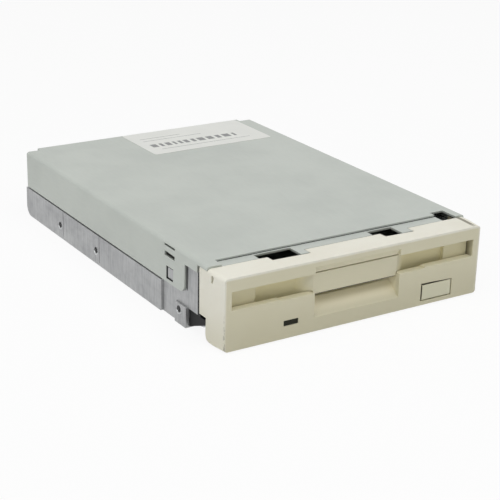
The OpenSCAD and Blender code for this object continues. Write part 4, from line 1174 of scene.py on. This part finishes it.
@dataclass
class LipShadeStrip:
    """Painted shade: a thin dark strip where the cover's front lip steps down, standing for the step's
    shadow line.
    """

    left: float = -45.3
    right: float = 41.4
    depth: float = 13.78
    width: float = 0.42
    top: float = 24.83
    thick: float = 0.06

    def build(self) -> None:
        """Lays a thin strip along the foot of the step, with its front edge rounded over."""
        length = self.right - self.left
        strip = Shop.block("lip_shade_strip", (length, self.width, self.thick))
        Shop.pick_faces(strip, (0, -1, 0))
        Shop.draw_out((0, -self.thick / 2, -self.thick / 2))
        Shop.place(strip, "lip_shade_strip", ((self.left + self.right) / 2, self.depth, self.top))
        settle(strip, "frame", "cover_steel", Coat.SEAM)


@dataclass
class ChipLegs:
    """Bent legs along the sides of one chip."""

    name: str
    body_box: Window
    seat: float
    rise: float
    pitch: float
    along_x: int
    along_y: int
    under: bool = False
    leg: Spot = (0.5, 0.34, 0.14)
    knee: float = 0.2
    toe: float = 0.55

    def row(self, count: int, offset: float) -> Piece:
        """Row of legs that point along X, spaced along Y about the origin.

        Args:
            count: Legs in the row.
            offset: Middle of each leg's first stretch along X.

        Returns:
            The row.
        """
        leg = Shop.block("leg", self.leg, (offset, -(count - 1) * self.pitch / 2, self.rise))
        Shop.pick_faces(leg, (1, 0, 0))
        Shop.draw_out((self.knee, 0, self.leg[2] / 2 - self.rise), (self.toe, 0, 0))
        Shop.repeat(leg, count, (0, self.pitch, 0))
        return leg

    def build(self) -> None:
        """Sets a row at each side that has legs and seats them on the board."""
        left, right, front, back = self.body_box
        rows: List[Piece] = []
        for count, half, turns in ((self.along_y, (right - left) / 2, (0, 180)),
                                   (self.along_x, (back - front) / 2, (90, 270))):
            for turn in turns if count else ():
                row = self.row(count, half)
                row.rotation_euler[2] = math.radians(turn)
                rows.append(row)
        for row in rows:
            Shop.place(row, "leg_row")
        piece = Shop.join(self.name, rows)
        centre = ((left + right) / 2, (front + back) / 2, self.seat)
        Shop.place(piece, self.name, centre, OVER if self.under else UNTURNED)
        settle(piece, "frame", "steel", Coat.SOLDER)


@dataclass
class SolderRows:
    """Soldered pin ends under the main board."""

    name: str
    centre: float
    ways: int
    pitch: float
    depths: Tuple[float, ...]
    seat: float = 1.6
    foot: float = 0.72
    tip: float = 0.3
    height: float = 0.5
    middle: float = 0.22
    rim: Span = (0.08, 0.04)
    pin: float = 0.3
    sides: int = 12

    def build(self) -> None:
        """Shapes one joint and repeats it along every row."""
        rows: List[Piece] = []
        for depth in self.depths:
            joint = Shop.add("joint", bpy.ops.mesh.primitive_cone_add, vertices=self.sides,
                             radius1=self.foot * MM, radius2=self.tip * MM, depth=self.height * MM,
                             location=(0, 0, self.middle * MM))
            Shop.pick_faces(joint, (0, 0, 1))
            bpy.ops.mesh.inset(thickness=self.rim[0] * MM, depth=-self.rim[1] * MM)
            Shop.draw_out((0, 0, self.pin))
            Shop.repeat(joint, self.ways, (self.pitch, 0, 0))
            start = self.centre - (self.ways - 1) * self.pitch / 2
            rows.append(Shop.place(joint, "joint_row", (start, depth, self.seat), OVER))
        piece = Shop.join(self.name, rows)
        Shop.smooth(piece)
        settle(piece, "frame", "steel", Coat.SOLDER)


@dataclass
class Passives:
    """Row of small resistors or capacitors on a board, each with a soldered cap at both ends."""

    name: str
    first: Span
    count: int
    pitch: float
    seat: float
    coat: Coat = Coat.CHIP
    under: bool = True
    size: Spot = (1.3, 1.2, 0.5)
    cap: Spot = (0.42, 1.26, 0.56)
    round_over: float = 0.07

    def row(self, name: str, size: Sequence[float], spots: Sequence[float]) -> Piece:
        """Soft-edged blocks at some places along Y, repeated along X.

        Args:
            name: The row's name.
            size: Size of a block.
            spots: Places of the blocks along Y.

        Returns:
            The row, seated on its board.
        """
        blocks = [Shop.block("part", size, (0, spot, size[2] / 2)) for spot in spots]
        piece = Shop.join(name, blocks)
        Shop.apply(piece, "BEVEL", width=self.round_over * MM, segments=2)
        Shop.repeat(piece, self.count, (self.pitch, 0, 0))
        return Shop.place(piece, name, (*self.first, self.seat), OVER if self.under else UNTURNED)

    def build(self) -> None:
        """Makes the bodies and their caps."""
        length, width, height = self.size
        reach = (length + self.cap[0]) / 2
        bodies = self.row(self.name + "_bodies", (width, length, height), (0,))
        settle(bodies, "frame", "chip_black", self.coat)
        caps = self.row(self.name + "_caps", (self.cap[1], self.cap[0], self.cap[2]), (-reach, reach))
        settle(caps, "frame", "steel", Coat.SOLDER)


@dataclass
class LeadScrew:
    """Screw of the stepper, with its helical groove."""

    across: float = 18.0
    height: float = 8.2
    core: float = 1.1
    crest: float = 1.5
    lead: float = 3.75
    land: float = 2.9
    start: float = 83.9
    turns: int = 8
    root: float = 0.4
    steps: int = 32

    def build(self) -> None:
        """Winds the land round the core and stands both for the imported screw."""
        low, high = (corner[1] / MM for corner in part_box("lead_screw"))
        core = Shop.rod("core", self.core, high - low, self.steps)
        Shop.place(core, "core", (self.across, low + DEPTH / 2, self.height), (-90, 0, 0))
        bpy.ops.object.select_all(action="DESELECT")
        bpy.ops.mesh.primitive_plane_add(size=1, rotation=(math.pi / 2, 0, 0),
                                         location=((self.core + self.crest) / 2 * MM, 0, self.land * MM / 2))
        ridge = bpy.context.active_object
        ridge.scale = ((self.crest - self.core + self.root) * MM, self.land * MM, 1)
        ridge.location.x -= self.root / 2 * MM
        Shop.place(ridge, "ridge")
        with whole_mesh(ridge):
            bpy.ops.mesh.delete(type="ONLY_FACE")
        Shop.apply(ridge, "SCREW", axis="Z", steps=self.steps, render_steps=self.steps,
                   iterations=self.turns, screw_offset=self.lead * MM)
        Shop.tidy(ridge)
        Shop.place(ridge, "ridge", (self.across, self.start, self.height), (-90, 0, 0))
        piece = Shop.join("lead_screw_thread", [core, ridge])
        Shop.smooth(piece)
        settle(piece, body_of("lead_screw"), "steel", Coat.STEEL, "lead_screw")


@dataclass
class Works:
    """Springs, screws, legs and joints of the mechanism and the boards."""

    coils: List[Coil] = field(default_factory=lambda: [
        Coil("left_slider_coil", "slider_springs", 0.3, 1.27, 14.9, 12, (-43.05, 105.1, 10.8), (-90, 0, 0)),
        Coil("right_slider_coil", "slider_springs", 0.3, 1.27, 14.9, 12, (43.05, 105.1, 10.8), (-90, 0, 0)),
        Coil("flap_coil", "flap_spring", 0.2, 0.93, 4.4, 9, (38.3, 4.2, 20.4), (0, 90, 0)),
        Coil("lever_coil", "lever_spring", 0.2, 2.5, 1.2, 2, (-33.0, 105.0, 15.2), (0, 0, 0)),
        Coil("arm_coil", "arm_spring", 0.3, 1.45, 2.4, 3, (4.3, 119.0, 16.5), (0, 90, 0)),
    ])
    legs: List[ChipLegs] = field(default_factory=lambda: [
        ChipLegs("controller_legs", (-39, -26, 105.5, 118.5), 2.8, 1.0, 0.8, 13, 13),
        ChipLegs("buffer_legs", (-34, -24, 90.5, 96.5), 2.8, 0.8, 1.27, 7, 0),
        ChipLegs("sensor_legs", (32.5, 35.5, 131.5, 134.5), 2.8, 0.6, 0.95, 0, 3),
        ChipLegs("driver_legs", (-38, -27, 30.5, 37.5), 4.8, 0.9, 1.0, 10, 0, True),
        ChipLegs("index_legs", (24, 27, 50, 54), 4.8, 0.6, 1.2, 0, 3, True),
    ])
    passives: List[Passives] = field(default_factory=lambda: [
        Passives("driver_resistors", (-37.0, 42.0), 5, 2.6, 4.8),
        Passives("driver_capacitors", (-36.0, 65.0), 3, 3.4, 4.8, Coat.CERAMIC),
        Passives("index_resistors", (28.0, 34.0), 4, 2.9, 4.8),
        Passives("motor_capacitors", (29.0, 64.0), 3, 3.4, 4.8, Coat.CERAMIC),
        Passives("switch_resistors", (-17.5, 22.0), 6, 7.0, 4.8),
        Passives("front_resistors", (-39.0, 100.0), 6, 3.2, 1.6),
        Passives("line_resistors", (-38.0, 122.0), 5, 3.2, 1.6),
        Passives("line_capacitors", (-38.0, 127.0), 4, 4.0, 1.6, Coat.CERAMIC),
        Passives("clock_resistors", (-39.0, 101.0), 5, 3.2, 2.8, under=False),
    ])
    joints: List[SolderRows] = field(default_factory=lambda: [
        SolderRows("signal_joints", 8.0, 17, 2.54, (139.6, 142.14)),
        SolderRows("power_joints", -32.0, 4, 2.5, (140.6,)),
    ])

    def build(self) -> None:
        """Makes every small piece."""
        CrossScrews().build()
        HoleHighlights().build()
        LipShadeStrip().build()
        LeadScrew().build()
        for item in [*self.coils, *self.legs, *self.passives, *self.joints]:
            item.build()


@dataclass
class Studio:
    """Floor, lamps, world and the camera at the photograph's angle."""

    lens: float = 97.68
    azimuth: float = -32.51
    elevation: float = 20.89
    roll: float = 1.34
    eye: Spot = (-0.2459, -0.39513, 0.17768)
    sensor: float = 36.0
    nearest: float = 0.01
    floor_half: float = 6.0
    floor_height: float = -0.0002
    floor_tone: Colour = (0.86, 0.86, 0.86)
    floor_glow: float = 0.9
    fill: float = 0.28
    aim: Spot = (0, 0, 0.012)
    lamps: Tuple[Tuple[str, Spot, float, float], ...] = (
        ("top_lamp", (-0.05, -0.25, 0.93), 1.0, 6.4),
        ("left_lamp", (-0.95, -0.1, 0.4), 0.8, 2.3),
        ("front_lamp", (0.25, -1.0, 0.35), 0.8, 0.3),
    )

    def build(self) -> None:
        """Sets up the whole studio."""
        self.add_floor()
        self.add_world()
        for lamp in self.lamps:
            self.add_lamp(*lamp)
        self.add_camera()
        bpy.context.scene.view_settings.view_transform = "Standard"

    def add_floor(self) -> None:
        """Pale floor that shows white to the camera and keeps a soft shadow."""
        bpy.ops.object.select_all(action="DESELECT")
        bpy.ops.mesh.primitive_plane_add(size=2 * self.floor_half, location=(0, 0, self.floor_height))
        floor = bpy.context.active_object
        floor.name = "studio_floor"
        board = ShaderBoard("studio_floor")
        board.finish(Base_Color=self.floor_tone, Roughness=0.9)
        glow = board.tree.nodes.new("ShaderNodeEmission")
        blend = board.tree.nodes.new("ShaderNodeMixShader")
        board.feed(blend.inputs[0], Wire(board, self.seen_rays(board.tree)) * self.floor_glow)
        board.tree.links.new(board.shader.outputs[0], blend.inputs[1])
        board.tree.links.new(glow.outputs[0], blend.inputs[2])
        board.tree.links.new(blend.outputs[0], board.output.inputs[0])
        floor.data.materials.append(board.material)

    @staticmethod
    def seen_rays(tree: bpy.types.NodeTree) -> bpy.types.NodeSocket:
        """One for rays that show the backdrop to the eye, straight, in a reflection or through glass.

        Args:
            tree: The nodes of the floor or of the world.

        Returns:
            The socket that holds it.
        """
        path = tree.nodes.new("ShaderNodeLightPath")
        seen = path.outputs["Is Camera Ray"]
        for kind in ("Is Glossy Ray", "Is Transmission Ray"):
            either = tree.nodes.new("ShaderNodeMath")
            either.operation = "MAXIMUM"
            tree.links.new(seen, either.inputs[0])
            tree.links.new(path.outputs[kind], either.inputs[1])
            seen = either.outputs[0]
        return seen

    def add_world(self) -> None:
        """Even pale surroundings."""
        world = bpy.data.worlds.new("studio")
        bpy.context.scene.world = world
        world.use_nodes = True
        tree = world.node_tree
        back = tree.nodes["Background"]
        back.inputs["Color"].default_value = (1.0, 1.0, 1.0, 1.0)
        level = tree.nodes.new("ShaderNodeMapRange")
        level.inputs["To Min"].default_value = self.fill
        tree.links.new(self.seen_rays(tree), level.inputs["Value"])
        tree.links.new(level.outputs[0], back.inputs["Strength"])

    def add_lamp(self, name: str, spot: Spot, size: float, power: float) -> None:
        """Square soft lamp that looks at the drive.

        Args:
            name: The lamp's name.
            spot: Where it stands, in metres.
            size: Length of its sides in metres.
            power: Its power in watts.
        """
        data = bpy.data.lights.new(name, "AREA")
        data.shape = "SQUARE"
        data.size = size
        data.energy = power
        lamp = bpy.data.objects.new(name, data)
        lamp.location = spot
        aim = Vector(self.aim) - Vector(spot)
        lamp.rotation_euler = aim.to_track_quat("-Z", "Y").to_euler()
        bpy.context.scene.collection.objects.link(lamp)

    def add_camera(self) -> None:
        """Camera fitted to the photograph."""
        turn, tilt, roll = (math.radians(v) for v in (self.azimuth, self.elevation, self.roll))
        back = Vector((math.sin(turn) * math.cos(tilt), -math.cos(turn) * math.cos(tilt), math.sin(tilt)))
        right = Vector((math.cos(turn), math.sin(turn), 0))
        up = back.cross(right)
        rolled = (right * math.cos(roll) + up * math.sin(roll),
                  up * math.cos(roll) - right * math.sin(roll), back)
        data = bpy.data.cameras.new("camera")
        data.lens = self.lens
        data.sensor_width = self.sensor
        data.clip_start = self.nearest
        camera = bpy.data.objects.new("camera", data)
        pose = Matrix(rolled).transposed().to_4x4()
        pose.translation = Vector(self.eye)
        camera.matrix_world = pose
        bpy.context.scene.collection.objects.link(camera)
        bpy.context.scene.camera = camera


def main() -> None:
    """Builds the drive's looks and the studio."""
    Studio().build()
    casing = Casing()
    casing.build()
    casing.dress()
    Works().build()


if __name__ == "__main__":
    main()
